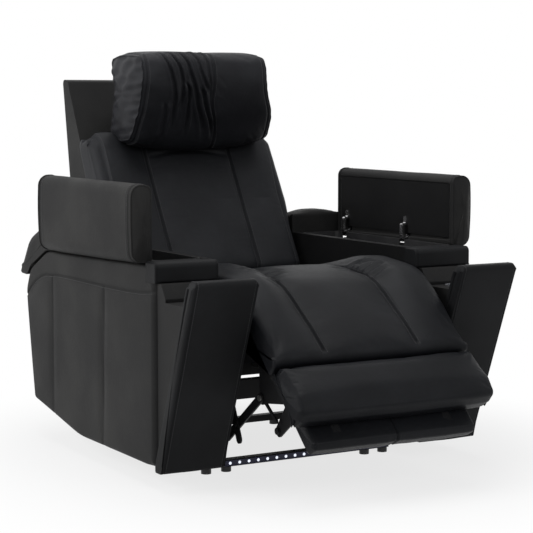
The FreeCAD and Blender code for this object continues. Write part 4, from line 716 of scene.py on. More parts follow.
def stitches(name, lines):
    """Spindles laid along the lines: each ring point is spot + run*a + (normal*cos + side*sin)*radius."""
    pitch, length, radius = stitch_pitch, stitch_length, stitch_radius
    turn = np.linspace(0, 2 * np.pi, 5, endpoint=False)
    along = np.array([-0.30, 0.30])[:, None] * length
    ring_shape = np.stack([np.broadcast_to(along, (2, 5)), np.broadcast_to(np.cos(turn), (2, 5)) * radius,
                           np.broadcast_to(np.sin(turn), (2, 5)) * radius], axis=-1).reshape(-1, 3)
    shape = np.vstack([ring_shape, [(-length / 2, -radius, 0), (length / 2, -radius, 0)]])
    i = np.arange(5)
    j = (i + 1) % 5
    quads = np.column_stack([i, j, j + 5, i + 5])
    fans = np.vstack([np.column_stack([j, i, np.full(5, 10)]), np.column_stack([i + 5, j + 5, np.full(5, 11)])])
    spots, runs, normals = (np.vstack(parts) for parts in zip(*[even_path(p, n, pitch) for p, n in lines]))
    side = np.cross(runs, normals)
    frames = np.stack([runs, normals, side], axis=1)
    points = (spots[:, None] + shape[None] @ frames).reshape(-1, 3)
    offsets = (np.arange(len(spots)) * len(shape))[:, None, None]
    all_quads, all_fans = (quads[None] + offsets).reshape(-1, 4), (fans[None] + offsets).reshape(-1, 3)
    piece = make_mesh(name, points, all_quads, all_fans, thread)
    print(name, "has", len(spots), "stitches")
    return piece


print("stitches are", stitch_length * 1000, "mm long and start every", stitch_pitch * 1000, "mm")

# %% [markdown]
# Piping is a cord with leather sewn round it, set into the seam that closes an edge. A curve with a bevel
# would make it too, but the seam's own points and normals are at hand, and with them it is one grid: a
# circle of eight points at each point of a closed path.


# %% Piping
def piping(name, path, normals, radius, finish):
    """A cord under leather round a closed path: circle of the radius in the plane of normal and side."""
    run = np.roll(path, -1, axis=0) - np.roll(path, 1, axis=0)
    run /= np.linalg.norm(run, axis=1)[:, None]
    side = np.cross(run, normals)
    side /= np.linalg.norm(side, axis=1)[:, None]
    normals = np.cross(side, run)
    turn = np.linspace(0, 2 * np.pi, 8, endpoint=False)[None, :, None]
    grid = path[:, None] + (normals[:, None] * np.cos(turn) + side[:, None] * np.sin(turn)) * radius
    last, first = (len(path) - 1) * 8 + np.arange(8), np.arange(8)
    joined = np.column_stack([last, np.roll(last, -1), np.roll(first, -1), first])
    quads = np.vstack([grid_faces(len(path), 8, True), joined])
    return make_mesh(name, grid.reshape(-1, 3), quads, [], finish)


print("piping follows a closed line of a cushion")

# %% [markdown]
# The seat and the calf rest are one leather cover in three panels: it domes over the front of the seat
# and runs down to the end of the calf pad.

# %% Seat and calf cover
footrest_angle, footrest_hinge = math.radians(44.7), (-365.0, 465.0)


def on_footrest(a, b):
    """A point of the footrest's own frame: a along its board, b square to it, in millimetres."""
    y = footrest_hinge[0] - a * math.cos(footrest_angle) - b * math.sin(footrest_angle)
    z = footrest_hinge[1] - a * math.sin(footrest_angle) + b * math.cos(footrest_angle)
    return (y, z)


def wave_sum(along, across, seed):
    """A soft irregular ripple between -1 and 1: four sine waves of unlike lengths."""
    phase = seed * 1.7
    total = np.sin(along * 211 + across * 38 + phase) + np.sin(along * 137 - across * 61 + 2.1 * phase)
    total = total + np.sin(along * 83 + across * 97 + 0.7 * phase) + np.sin(along * 317 + across * 17 + 3.3 * phase)
    return total / 4


seat_half, seam_x = 0.300, 0.145
cover_corners = [
    (262, 432.4), (262, 486), (-180, 553), (-352, 534), on_footrest(120, 73), on_footrest(214.6, 84),
    on_footrest(232, 64), on_footrest(232, 31.2), on_footrest(57.6, 31.2), on_footrest(57.6, 19.4),
    on_footrest(22, 19.4), (-384, 486), (-349, 488), (-340, 432.4),
]
cover_radii = mm(10, 30, 260, 140, 600, 22, 14, 3, 1, 1, 2, 3, 4, 6)
cover_ring = ring(mm(*cover_corners), cover_radii, 300)
cover_out = outward(cover_ring)
behind_knee = (cover_ring[:, 0] < -0.33) & (cover_ring[:, 1] < 0.49) & (cover_out[:, 1] < 0.3)
under_seat = (cover_out[:, 1] < -0.2) | behind_knee
cover_weights = smooth_step(cover_out[:, 1], -0.1, 0.55)


def cover_crown(x):
    """How far the top is drawn in at x: a little at the seams, and much at the rolled sides."""
    share = np.abs(x) / seat_half
    edge = 0.022 * (1 - np.sqrt(np.clip(1 - np.clip((share - 0.88) / 0.12, 0, 1) ** 2.2, 0, 1)))
    return edge + 0.006 * seam_dent(np.abs(x) - seam_x, 0.030)


cover_stations = stations_between(seat_half, (-seam_x, seam_x), 0.0100, 0.003)
cover = Cushion("seat_and_calf_cover", cover_ring, cover_weights, cover_stations, cover_crown, shaded_seat_leather, dome=0.0)
place = corners_of(cover.piece)
upper = np.concatenate([np.tile(smooth_step(cover_out[:, 1], 0.0, 0.5), cover.rings), [0, 0]])
knee = smooth_step(-place[:, 1], -0.02, 0.24) * (1 - smooth_step(-place[:, 1], 0.40, 0.56))
bolster = smooth_step(np.abs(place[:, 0]), 0.150, 0.225) * (1 - smooth_step(np.abs(place[:, 0]), 0.286, 0.300))
bolster_rise = 0.021
carve(cover.piece, -bolster_rise * knee * bolster * upper)
print("the cover has", len(cover.piece.data.vertices), "points")

# %% [markdown]
# The panels are blown up while the seams, the underside and both sides are held. Where the cover bends
# over the knee the leather is pulled from the seams, so short creases start beside them. Both seams are
# pressed in and end a little before the foot pad, and a row of stitches runs on either side of each.

# %% Swell the panels and sew the seams
top_points = np.nonzero(cover_out[:, 1] > 0.35)[0]
ring_arcs = spots_on(cover)[:len(cover_ring), 1]
knee_arc = 1000 * ring_arcs[top_points[np.abs(cover_ring[top_points, 0] + 0.245).argmin()]]
end_arc = ring_arcs[top_points[-1]]
place = corners_of(cover.piece)
row_seam = np.exp(-((np.abs(place[:, 0]) - seam_x) / 0.004) ** 2)
low_side = np.concatenate([np.tile(under_seat, cover.rings), [True, True]])
puff(cover.piece, (row_seam > 0.5) | low_side | (np.abs(place[:, 0]) > seat_half - 0.001), 0.010, pressure=2.6,
     grow=0.003)
seat_groove, seat_pull = 0.0085, 0.0050
spots = spots_on(cover)
seam_gap = np.abs(np.abs(spots[:, 0]) - seam_x)
pulls = np.zeros(len(spots))
outer_pulls = [  # the side, how far it reaches, where it starts past the knee and how it leans, in millimetres
    (1, 62, 0, 0), (1, 78, 30, 6), (1, 70, 58, 4), (1, 50, 84, 2), (1, 44, -30, -8),
    (-1, 56, 6, 4), (-1, 72, 36, 8), (-1, 64, 70, 8), (-1, 40, 100, 5),
]
inner_pulls = [(1, 60, 12), (-1, 74, -6), (-1, 48, 24)]
for side, reach, first, shift in outer_pulls:
    start = knee_arc + first
    bend = (side * (150 + 0.5 * reach), start - 2 - shift)
    pulls += crease(spots, [(side * 150, start), bend, (side * (150 + reach), start - 4 * shift)], 0.0085, 0.8)
for side, reach, first in inner_pulls:
    start = knee_arc + first
    line = [(side * 140, start), (side * (140 - 0.5 * reach), start - 10), (side * (140 - reach), start - 12)]
    pulls += 0.6 * crease(spots, line, 0.0100, 0.8)
groove = seat_groove * seam_dent(seam_gap, 0.0045) * (1 - smooth_step(spots[:, 1], end_arc - 0.02, end_arc))
carve(cover.piece, upper * (groove - seat_pull * pulls * (1 - seam_dent(seam_gap, 0.006))))
mark_seams(cover.piece, upper * seam_dent(seam_gap, 0.004))
front_columns = np.nonzero((cover_ring[:, 0] < 0.255) & (cover_out[:, 1] > 0.35))[0]
cover_lines = []
for x in (-seam_x - seam_to_stitch, -seam_x + seam_to_stitch, seam_x - seam_to_stitch, seam_x + seam_to_stitch):
    cover_lines.append(cover.line(x, front_columns[0], front_columns[-1], stitch_lift))
cover_stitches = stitches("seat_stitches", cover_lines)
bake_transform(cover.piece)
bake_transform(cover_stitches)
dress(cover.piece, None, "seat_cushion", "calf_pad", fill=0.75, slot="cushion")
dress(cover_stitches, None, slot="cushion")
print("seat and calf cover:", len(cover.piece.data.polygons), "faces")

# %% [markdown]
# The foot pad closes the footrest. It is one panel wrapped over the end of the board, with a soft front
# edge, so a cushion without inner seams does for it. Only its underside is held while it is blown up.


# %% Foot pad
def simple_pad(name, corners, radii, half, crown_depth, power, count, seams=()):
    """A pad across the chair whose crown falls as a superellipse of its half width."""
    outline = ring(mm(*corners), mm(*radii), count)
    stations = stations_between(half, seams, 0.012, 0.003)
    return Cushion(name, outline, np.ones(count), stations, superellipse(crown_depth, half, power), shaded_seat_leather)


foot_half, foot_crown, foot_count = 0.297, 0.018, 190
foot_corners = [
    on_footrest(234.5, 31.2), on_footrest(234.5, 68), on_footrest(246, 83), on_footrest(348, 99.5),
    on_footrest(396, 91), on_footrest(399, 53), on_footrest(390, 17.4), on_footrest(370.5, 17.4),
    on_footrest(370.5, 31.2),
]
foot = simple_pad("foot_pad_cover", foot_corners, (1, 9, 14, 46, 20, 18, 5, 1, 1), foot_half, foot_crown, 7.0,
                  foot_count)
foot_rows = np.concatenate([np.tile(outward(foot.outline)[:, 1] < 0.0, foot.rings), [False, False]])
puff(foot.piece, foot_rows, 0.008, pressure=2.5)
place = corners_of(foot.piece)
ripple = wave_sum(place[:, 0] * 0.10, place[:, 2] * 0.5, 2.0)
carve(foot.piece, -0.0014 * ripple)
mark_seams(foot.piece, 0.4 * seam_dent(np.abs(place[:, 0]) - foot_half, 0.004))
dress(foot.piece, "footrest", "foot_pad", fill=0.7, slot="cushion")
print("foot pad:", len(foot.piece.data.polygons), "faces")

# %% [markdown]
# Below the foot pad a thinner pad slides out on rails as the footrest rises. It is sewn once in its
# middle, and the leather pulls in short waves away from that seam. It is firm enough to be drawn by
# formula alone, without being blown up.

# %% Extension pad
extension_corners = [on_footrest(263, 12), on_footrest(263, -44), on_footrest(438, -38), on_footrest(449, 0),
                     on_footrest(440, 16.6)]
extension_half, extension_crown, extension_count, middle_x = 0.250, 0.012, 150, 0.0
extension = simple_pad("extension_pad_cover", extension_corners, (4, 8, 12, 10, 6), extension_half, extension_crown,
                       8.0, extension_count, (middle_x,))
place = corners_of(extension.piece)
middle_seam = seam_dent(place[:, 0], 0.004)
spread_pull = np.exp(-np.abs(place[:, 0]) / 0.035) * np.sin(np.abs(place[:, 0]) * 420)
ripple = wave_sum(place[:, 0] * 0.2, place[:, 2] * 0.5, 4.0)
carve(extension.piece, 0.005 * middle_seam - 0.0012 * spread_pull - 0.001 * ripple)
mark_seams(extension.piece, middle_seam)
dress(extension.piece, "extension", "extension_pad", fill=0.6, slot="cushion")
print("extension pad:", len(extension.piece.data.polygons), "faces")

# %% [markdown]
# The back is one upholstered block in three panels, sewn to its side gussets with piping. Its outline is
# set out in the back's own frame, u up the wall and n square to it, as on the workshop drawing.

# %% Back cushion
back_angle, back_foot = math.radians(63.76), (399.0, 480.0)


def on_back(u, n):
    """A point of the back's own frame: u up the front wall, n to the rear of its face, in millimetres."""
    y = back_foot[0] + u * math.cos(back_angle) + n * math.sin(back_angle)
    z = back_foot[1] + u * math.sin(back_angle) - n * math.cos(back_angle)
    return (y, z)


back_half, side_seam_x = 0.302, 0.284
back_corners = [
    on_back(0, -0.4), on_back(447, -0.4), on_back(440, -70), on_back(404, -96), on_back(200, -112),
    on_back(-34, -131), on_back(-57, -96),
]
back_ring = ring(mm(*back_corners), mm(4, 18, 34, 60, 300, 42, 24), 240)
back_out = outward(back_ring)
wall_normal = np.array([math.sin(back_angle), -math.cos(back_angle)])
front_share = smooth_step(-(back_out @ wall_normal), -0.2, 0.5)


def back_crown(x):
    """Drawn in at the seams, and rolled over at the sides."""
    share = np.abs(x) / back_half
    edge = 0.034 * (1 - np.sqrt(np.clip(1 - np.clip((share - 0.84) / 0.16, 0, 1) ** 2.4, 0, 1)))
    return edge + 0.004 * seam_dent(np.abs(x) - seam_x, 0.020)


back_stations = stations_between(back_half, (-seam_x, seam_x, -side_seam_x, side_seam_x), 0.0125, 0.003)
back = Cushion("back_cushion_cover", back_ring, np.maximum(front_share, 0.0), back_stations, back_crown, lit_back_leather,
               dome=0.0)
place = corners_of(back.piece)
held_back = np.concatenate([np.tile(front_share < 0.05, back.rings), [True, True]])
seam_rows = np.exp(-((np.abs(place[:, 0]) - seam_x) / 0.004) ** 2) > 0.5
seam_rows |= np.exp(-((np.abs(place[:, 0]) - side_seam_x) / 0.003) ** 2) > 0.5
print("back cushion:", len(back.piece.data.vertices), "points")
puff(back.piece, held_back | seam_rows | (np.abs(place[:, 0]) > back_half - 0.001), 0.011, pressure=2.8,
     grow=0.002)

# %% [markdown]
# The blown-up back gets its shape from sums of bells and steps: a groove in each seam, a fold across the
# top of the middle panel, fuller shoulders beside it, and sides that swell where they meet the shell.

# %% Shape and sew the back
panel_groove, side_groove, tuck_depth, shoulder_rise, flank_rise = 0.0080, 0.0045, 0.007, 0.012, 0.010
tuck_z, tuck_bow, outer_row_x = 0.838, 0.020, 0.2775
place = corners_of(back.piece)
facing = np.concatenate([np.tile(smooth_step(front_share, 0.1, 0.5), back.rings), [0, 0]])
seam_gap = np.abs(np.abs(place[:, 0]) - seam_x)
side_gap = np.abs(np.abs(place[:, 0]) - side_seam_x)
drag = np.exp(-seam_gap / 0.025) * wave_sum(place[:, 2] * 0.5, place[:, 0] * 0.3, 5.0) * 0.0009
groove = panel_groove * seam_dent(seam_gap, 0.0045) + side_groove * seam_dent(side_gap, 0.0035)
middle = 1 - smooth_step(np.abs(place[:, 0]), 0.105, 0.140)
tuck = middle * (seam_dent(place[:, 2] - tuck_z - tuck_bow * (1 - (place[:, 0] / 0.14) ** 2), 0.006))
shoulder = smooth_step(np.abs(place[:, 0]), 0.16, 0.23) * smooth_step(place[:, 2], 0.70, 0.84)
shoulder *= 1 - smooth_step(np.abs(place[:, 0]), 0.278, 0.290)
flank = smooth_step(np.abs(place[:, 0]), 0.285, 0.300) * smooth_step(place[:, 2], 0.60, 0.70)
side_swell = flank_rise * flank * smooth_step(0.93 - place[:, 2], 0.0, 0.06)
carve(back.piece, facing * (groove + tuck_depth * tuck - drag - shoulder_rise * shoulder) - side_swell)
mark_seams(back.piece, facing * np.maximum(seam_dent(seam_gap, 0.004), seam_dent(side_gap, 0.003)))
back_columns = np.nonzero(front_share > 0.35)[0]
back_lines = []
for x in (-outer_row_x, -seam_x - seam_to_stitch, -seam_x + seam_to_stitch, seam_x - seam_to_stitch,
          seam_x + seam_to_stitch, outer_row_x):
    back_lines.append(back.line(x, back_columns[0], back_columns[-1], stitch_lift))
dress(stitches("back_stitches", back_lines), "back", slot="cushion")
dress(back.piece, "back", "back_cushion", fill=0.75, slot="cushion")
print("back cushion:", len(back.piece.data.polygons), "faces")

# %% [markdown]
# The headrest is a plump pillow, fuller at the top than at the bottom, with a flat gusset at each end. It
# is a cushion whose stations lie close together across its gathered band, because the folds there need
# a fine grid. It is blown up while its back, the edges of its gussets and its one seam are held.

# %% Headrest pillow
pillow_half, band_right, pillow_count, pillow_seam_x = 0.228, 0.008, 236, 0.214
pillow_corners = [
    (548, 1142), (455, 1156), (324, 1150), (300, 1080), (334, 984), (402, 886), (468, 879), (557, 902), (516, 1030),
]
pillow_radii = mm(24, 160, 44, 140, 160, 50, 60, 22, 70)
pillow_ring = ring(mm(*pillow_corners), pillow_radii, pillow_count)
band_stations = np.arange(-0.172, 0.050, 0.0032)
pillow_stations = stations_between(pillow_half, (-pillow_seam_x, pillow_seam_x), 0.0085, 0.0025)
apart = (pillow_stations < band_stations[0] - 0.001) | (pillow_stations > band_stations[-1] + 0.001)
pillow_stations = np.sort(np.concatenate([pillow_stations[apart], band_stations]))


def pillow_crown(x):
    """Drawn in over the last quarter towards each end, like a quarter of an ellipse."""
    share = np.clip((np.abs(x) / pillow_half - 0.80) / 0.20, 0, 1)
    return 0.012 * (1 - np.sqrt(np.clip(1 - share ** 2.2, 0, 1)))


pillow = Cushion("headrest_pillow", pillow_ring, np.ones(pillow_count), pillow_stations, pillow_crown, lit_pillow_leather,
                 dome=0.014, dome_rings=14)
place = corners_of(pillow.piece)
rear_side = np.concatenate([np.tile(outward(pillow_ring)[:, 0] > 0.75, pillow.rings), [False, False]])
held_edge_x = 0.226
edge_rows = np.abs(np.abs(place[:, 0]) - held_edge_x) < 0.0035
puff(pillow.piece, rear_side | edge_rows | (np.abs(place[:, 0] - band_right) < 0.002), 0.008, pressure=2.2)
print("pillow:", len(pillow.piece.data.polygons), "faces")

# %% [markdown]
# A band of the pillow is gathered: the leather is cut longer and sewn up short, so it falls in folds that
# start at the top, lean to the right and merge half way down. Each fold is a crease along its own line on
# the unrolled cushion, a valley with a bank on either side. A cloth simulation would fold the leather
# too, but never in the places where the real one has its folds.

# %% Gather the pillow
spots = spots_on(pillow)
gathers = [  # width in metres, weight, then the line's points: across and round the ring, in millimetres
    (0.0048, 0.8, (-162, 196), (-154, 233), (-147, 262), (-138, 290), (-128, 322), (-118, 370), (-116, 419),
     (-112, 486)),
    (0.0045, 0.9, (-134, 190), (-122, 232), (-113, 262), (-105, 290), (-98, 322), (-97, 361), (-99, 412)),
    (0.0050, 0.9, (-102, 186), (-90, 225), (-82, 252), (-75, 287), (-61, 323), (-46, 370), (-36, 420), (-24, 520)),
    (0.0038, 0.9, (-90, 312), (-78, 340), (-72, 380), (-72, 431), (-78, 490)),
    (0.0042, 0.7, (-66, 186), (-52, 220), (-44, 250), (-38, 286), (-24, 320), (-2, 362)),
    (0.0045, 0.8, (-36, 330), (-20, 372), (-12, 420), (0, 500)),
    (0.0036, 0.6, (-30, 186), (-18, 222), (-13, 262), (-9, 310), (0, 360), (4, 420)),
    (0.0050, 0.5, (-148, 380), (-140, 430), (-136, 500)),
]
band_groove, gusset_groove, gather_depth = 0.0075, 0.0035, 0.0085
folds = sum(weight * crease(spots, line, width, 0.85) for width, weight, *line in gathers)
right_seam = seam_dent(spots[:, 0] - band_right, 0.0038)
gusset_seam = seam_dent(np.abs(spots[:, 0]) - pillow_seam_x, 0.0035)
grooves = band_groove * right_seam + gusset_groove * gusset_seam
carve(pillow.piece, grooves - gather_depth * folds * (1 - right_seam))
# The valleys of the folds are added to the seam mark, so the leather is darkened there: painted shade in the folds.
deep = np.clip(-folds, 0, 1)
mark_seams(pillow.piece, np.maximum(np.maximum(right_seam, gusset_seam), 0.8 * deep))
print("pillow folds:", len(gathers))

# %% [markdown]
# A used pillow is never quite true. The faces of its gussets are wavy, it leans at its lower edge, one
# corner is drawn in, and its middle sags. Each of these is a shift that fades in and out by smooth steps.

# %% Let the pillow sag
lean_shift, corner_shift, sag_drop = 0.038, 0.036, 0.024
place = corners_of(pillow.piece)
in_gusset = smooth_step(np.abs(spots[:, 0]), pillow_half - 0.001, pillow_half)
wave_height = np.where(place[:, 0] > 0, 0.0018, 0.0050)
gusset_wave = wave_sum(place[:, 2] * 0.8, place[:, 1] * 0.9, 3.0)
place[:, 0] += np.sign(place[:, 0]) * in_gusset * wave_height * gusset_wave
low = 1 - smooth_step(place[:, 2], 0.90, 1.02)
lean = smooth_step(place[:, 0], -0.12, 0.0) * (1 - 0.6 * smooth_step(place[:, 0], 0.10, 0.20))
corner = smooth_step(place[:, 0], 0.12, pillow_half) * smooth_step(place[:, 2], 0.95, 1.08)
corner *= 1 - smooth_step(place[:, 1], 0.36, 0.47)
place[:, 0] += lean_shift * low * lean - corner_shift * corner
sag = (1 - smooth_step(place[:, 2], 0.875, 0.96)) * (1 - smooth_step(place[:, 1], 0.455, 0.50))
place[:, 2] -= sag_drop * sag * np.clip(1 - (place[:, 0] / pillow_half) ** 2, 0, 1)
set_corners(pillow.piece, place)
print("the pillow reaches down to", round(float(place[:, 2].min()), 3), "m")

# %% [markdown]
# Two rows of stitches run round the pillow beside its gussets and one runs down beside the gathered band's
# seam. A thin piping closes each end.

# %% Sew the pillow
pillow_out = outward(pillow_ring)
front_points = np.nonzero((-pillow_out[:, 0] + 0.4 * pillow_out[:, 1]) > -0.1)[0]
pillow_lines = [pillow.line(x, 0, pillow_count - 1, stitch_lift) for x in (-0.207, 0.207)]
pillow_lines.append(pillow.line(band_right + seam_to_stitch, front_points.min(), front_points.max(), stitch_lift))
dress(stitches("pillow_stitches", pillow_lines), "headrest", slot="cushion")
for side, x in (("right", -0.2265), ("left", 0.2265)):
    path, normal = pillow.line(x, 0, pillow_count - 1, 0.0005)
    dress(piping("pillow_piping_" + side, path, normal, 0.0026, lit_pillow_leather), "headrest", slot="cushion")
dress(pillow.piece, "headrest", "headrest_cushion", fill=0.85, slot="cushion")
print("the pillow is sewn and piped")

# %% [markdown]
# Between the pillow and the shell sits a short gathered collar that hides the board behind the pillow.
# Its profile fills the hollow at the pillow's back, and folds are pressed in round it with a cosine. It is
# a narrow cushion of its own, because the pillow's cover doesn't run that far back.

# %% Headrest collar
collar_half, fold_pitch, fold_depth = 0.166, 0.014, 0.003
collar_corners = [(541, 917), (600, 1030), (590, 1054), (535, 1090), (500, 1085), (500, 930)]
collar_ring = ring(mm(*collar_corners), mm(4, 6, 14, 14, 10, 10), 120)
collar = Cushion("headrest_collar", collar_ring, np.ones(120), stations_between(collar_half, (), 0.0125, 0.003),
                 superellipse(0.010, collar_half, 8), shaded_lining_leather, dome=0.006)
place = corners_of(collar.piece)
along = place[:, 1] * 0.9 - place[:, 2] * 0.44
carve(collar.piece, fold_depth * (0.5 + 0.5 * np.cos(along * 2 * np.pi / fold_pitch)))
dress(collar.piece, "headrest", fill=0.6)
print("the collar has", len(place), "corners")

# %% [markdown]
# Both arms are alike, so each of their pieces is made for the left and mirrored for the right. A Mirror
# modifier would keep both in one object, but they ride on different bodies. Hinges and boxes that sink
# into the padding get room by a boolean, which is easier to read than a grid with holes.


# %% Mirrored pieces and cut-outs
def mirrored(piece, name):
    """A copy with x changed in sign, its faces turned so that they still point outwards."""
    mesh = piece.data.copy()
    copy = bpy.data.objects.new(name, mesh)
    bpy.context.scene.collection.objects.link(copy)
    points = corners_of(copy)
    points[:, 0] *= -1
    set_corners(copy, points)
    mesh.flip_normals()
    return copy


def both_sides(piece, body, node=None, fill=None):
    """Dress the left piece and its mirror image; {} in the body's and the node's name stands for the side."""
    other = mirrored(piece, piece.name.replace("_left", "_right"))
    for made, side in ((piece, "left"), (other, "right")):
        dress(made, body.format(side), *([node.format(side)] if node else []), fill=fill)


def cut_boxes(piece, boxes):
    """Take boxes out of a piece with a boolean."""
    cutters = []
    for low, high in boxes:
        low, high = mm(*low), mm(*high)
        corners = np.array([[(low, high)[i][0], (low, high)[j][1], (low, high)[k][2]]
                            for i in (0, 1) for j in (0, 1) for k in (0, 1)])
        quads = [(0, 1, 3, 2), (4, 6, 7, 5), (0, 4, 5, 1), (2, 3, 7, 6), (0, 2, 6, 4), (1, 5, 7, 3)]
        cutter = make_mesh("cutter", corners, quads, [], piece.data.materials[0])
        cut = piece.modifiers.new("cut", "BOOLEAN")
        cut.operation, cut.object, cut.solver = "DIFFERENCE", cutter, "FAST"
        cutters.append(cutter)
    bpy.context.view_layer.update()
    apply_modifiers(piece)
    for cutter in cutters:
        bpy.data.objects.remove(cutter)


print("pieces of the arms are made for the left side and mirrored")

# %% [markdown]
# The lids of the arms stand open. Each is a thick pad round at its outer edge, with a board in its
# underside, and its ends are closed by gussets. The pad's ring lies square to the chair's length, so its
# stations run along Y instead of X.

# %% Arm lids
hinge_ys, hinge_room = (-20.0, 300.0), 13
lid_count, lid_middle, lid_half = 180, 0.0505, 0.3065
lid_corners = [(482, 596), (538, 596), (540, 795), (482, 795)]
lid_ring = ring(mm(*lid_corners), mm(8, 27, 30, 22), lid_count)
lid_out = outward(lid_ring)
lid_weights = np.where(lid_out[:, 0] < -0.5, 0.2, 1.0)
lid_stations = stations_between(lid_half, (), 0.0125, 0.003) + lid_middle
lid = Cushion("lid_cover_left", lid_ring, lid_weights, lid_stations, superellipse(0.004, lid_half, 14, lid_middle),
              body_leather, dome=0.013, dome_rings=10, swap=True)
place = corners_of(lid.piece)
outer = np.concatenate([np.tile(smooth_step(lid_out[:, 0], -0.6, 0.3), lid.rings), [0, 0]])
lid_rise, lid_ripple, lid_groove = 0.006, 0.0008, 0.003
swell = lid_rise * outer * np.cos(np.clip((place[:, 2] - 0.693) / 0.13, -1, 1) * np.pi / 2)
end_gap = np.abs(np.abs(place[:, 1] - lid_middle) - (lid_half - 0.012))
ripple = lid_ripple * outer * wave_sum(place[:, 1] * 0.10, place[:, 2] * 0.2, 6.0)
carve(lid.piece, lid_groove * seam_dent(end_gap, 0.0035) * outer - swell - ripple)
mark_seams(lid.piece, seam_dent(end_gap, 0.003))
print("lid pad:", len(lid.piece.data.polygons), "faces")

# %% [markdown]
# A lid's underside is hollow by a few millimetres, and its board lies in the hollow. Its lower edge
# follows the top of the arm, which falls towards the rear. Each end has two rows of stitches and a piping
# round its gusset, and notches leave room for the hinges.

# %% Fit the lids to the arms
lid_low, lid_high = np.array([-0.257, 0.596]), np.array([0.358, 0.791])  # y and z of the underside's edges
rim_width, board_face_x = 0.0185, 0.4886
place = corners_of(lid.piece)
depth_in = np.minimum(place[:, 1:] - lid_low, lid_high - place[:, 1:]).min(axis=1)
place[(place[:, 0] < 0.4835) & (depth_in > rim_width), 0] = board_face_x
reach_down = 0.003 + 0.0085 * np.clip((place[:, 1] + 0.25) / 0.4, 0, 1.2)
place[:, 2] -= reach_down * (1 - smooth_step(place[:, 2], 0.600, 0.665))
set_corners(lid.piece, place)
lid_ends = [lid_middle + side * (lid_half - inset) for side in (-1, 1) for inset in (0.017, 0.025)]
lid_thread = stitches("lid_stitches_left", [lid.line(y, 0, lid_count - 1, stitch_lift) for y in lid_ends])
lid_pipes = []
for end, y in (("front", lid_middle - lid_half + 0.0015), ("rear", lid_middle + lid_half - 0.0015)):
    path, normal = lid.line(y, 0, lid_count - 1, 0.0002)
    lid_pipes.append(piping("lid_piping_" + end + "_left", path, normal, 0.0028, body_leather))
cut_boxes(lid.piece, [((478, y - hinge_room, 594), (498.5, y + hinge_room, 613.5)) for y in hinge_ys])
both_sides(lid.piece, "{}_lid", "lid_pad_{}", fill=0.8)
for piece in [lid_thread] + lid_pipes:
    both_sides(piece, "{}_lid")
print("lids are", round(float(lid_half * 2000)), "mm long")

# %% [markdown]
# The outside of each arm is a board under thin foam, with a curved seam below its top and two upright
# seams below that. Its outline is given in shares of its length and height, and its seams as points in
# the side view, y and z.

# %% Outline and seams of the arm's side
arm_front, arm_bottom, arm_length, arm_height = -306.0, 58.0, 886.0, 534.0
arm_shares = np.array([(0.0, 0.0), (0.56, 0.0), (0.935, 0.11), (1.0, 0.72), (0.96, 0.845), (0.81, 0.965), (0.0, 1.0)])
arm_corners = np.array([arm_front, arm_bottom]) + arm_shares * np.array([arm_length, arm_height])
arm_ring = ring(arm_corners / 1000, 0.534 * np.array([0.03, 0.9, 0.03, 0.12, 0.12, 0.25, 0.03]), 700)
arm_outline = np.vstack([arm_ring, arm_ring[:1]])
face_columns, face_rows, outer_x, inner_x = 190, 120, 0.4985, 0.4722
curved_seam = mm((586, 415), (567, 428), (545, 446), (525, 459), (500, 474), (474, 485), (445, 495), (415, 501),
                 (328, 508), (190, 509), (16, 508), (-148, 510), (-226, 513), (-310, 522))
bends = np.linspace(0, len(curved_seam) - 1, 160)
curved_seam = np.column_stack([np.interp(bends, np.arange(len(curved_seam)), curved_seam[:, k]) for k in (0, 1)])
upright_seams = [mm((370, 506), (372, 60)), mm((8, 508), (22, 40))]
print("the arm's outline has", len(arm_ring), "points and its curved seam", len(curved_seam))

# %% [markdown]
# The panel's face is a grid: columns stand side by side along the arm, and rows go from the lower edge of
# the outline to the upper. Both are set closer together towards the outline, where the edge rolls over.
# A filled polygon would be quicker to make, but it has no points inside to round or press in.


# %% Face of the arm's side
def arm_panel_face():
    """Face points (y, z) of columns between the outline's lower and upper chains."""
    rearmost, forward = arm_ring[:, 0].argmax(), arm_ring[:, 0].min()
    turned = np.roll(arm_ring, -rearmost, axis=0)
    upper = turned if turned[5, 1] > turned[0, 1] else turned[::-1]
    front_at = np.nonzero(upper[:, 0] < forward + 1e-4)[0]
    high, low = upper[:front_at[0] + 1][::-1], np.vstack([upper[front_at[-1]:], upper[:1]])
    share = (1 - np.cos(np.linspace(0, np.pi, face_columns))) / 2
    y = forward + 1e-4 + share * (arm_ring[:, 0].max() - forward - 2e-4)
    z_high, z_low = np.interp(y, high[:, 0], high[:, 1]), np.interp(y, low[:, 0], low[:, 1])
    climb = (1 - np.cos(np.linspace(0, np.pi, face_rows))) / 2 * 0.35 + np.linspace(0, 1, face_rows) * 0.65
    z = z_low[:, None] + climb[None] * (z_high - z_low)[:, None]
    return np.broadcast_to(y[:, None], z.shape), z


face_y, face_z = arm_panel_face()
flat = np.column_stack([face_y.ravel(), face_z.ravel()])
print("the face is a grid of", face_columns, "by", face_rows)

# %% [markdown]
# Three distances shape the face. The distance from the outline rounds the edge over as a quarter circle,
# and the distances from the seams press the grooves in. Between them the thin foam stands a little proud.
# The back of the panel is flat, and a strip round the rim joins the two.

# %% Arm side panels
edge_gap = distance_to(flat, arm_outline)
below = flat[:, 1] < np.interp(flat[:, 0], curved_seam[::-1, 0], curved_seam[::-1, 1])
seam_gap = distance_to(flat, curved_seam)
upright_gap = np.minimum(distance_to(flat, upright_seams[0]), distance_to(flat, upright_seams[1]))
upright_gap = np.where(below, upright_gap, 1.0)


def rounding(y, gap):
    """How far the face falls back at a gap from its outline: a quarter circle, wider towards the front edge."""
    radius = 0.012 + 0.010 * (1 - smooth_step(y, -0.285, -0.24))
    return radius - np.sqrt(np.clip(radius ** 2 - (radius - np.minimum(gap, radius)) ** 2, 0, None))


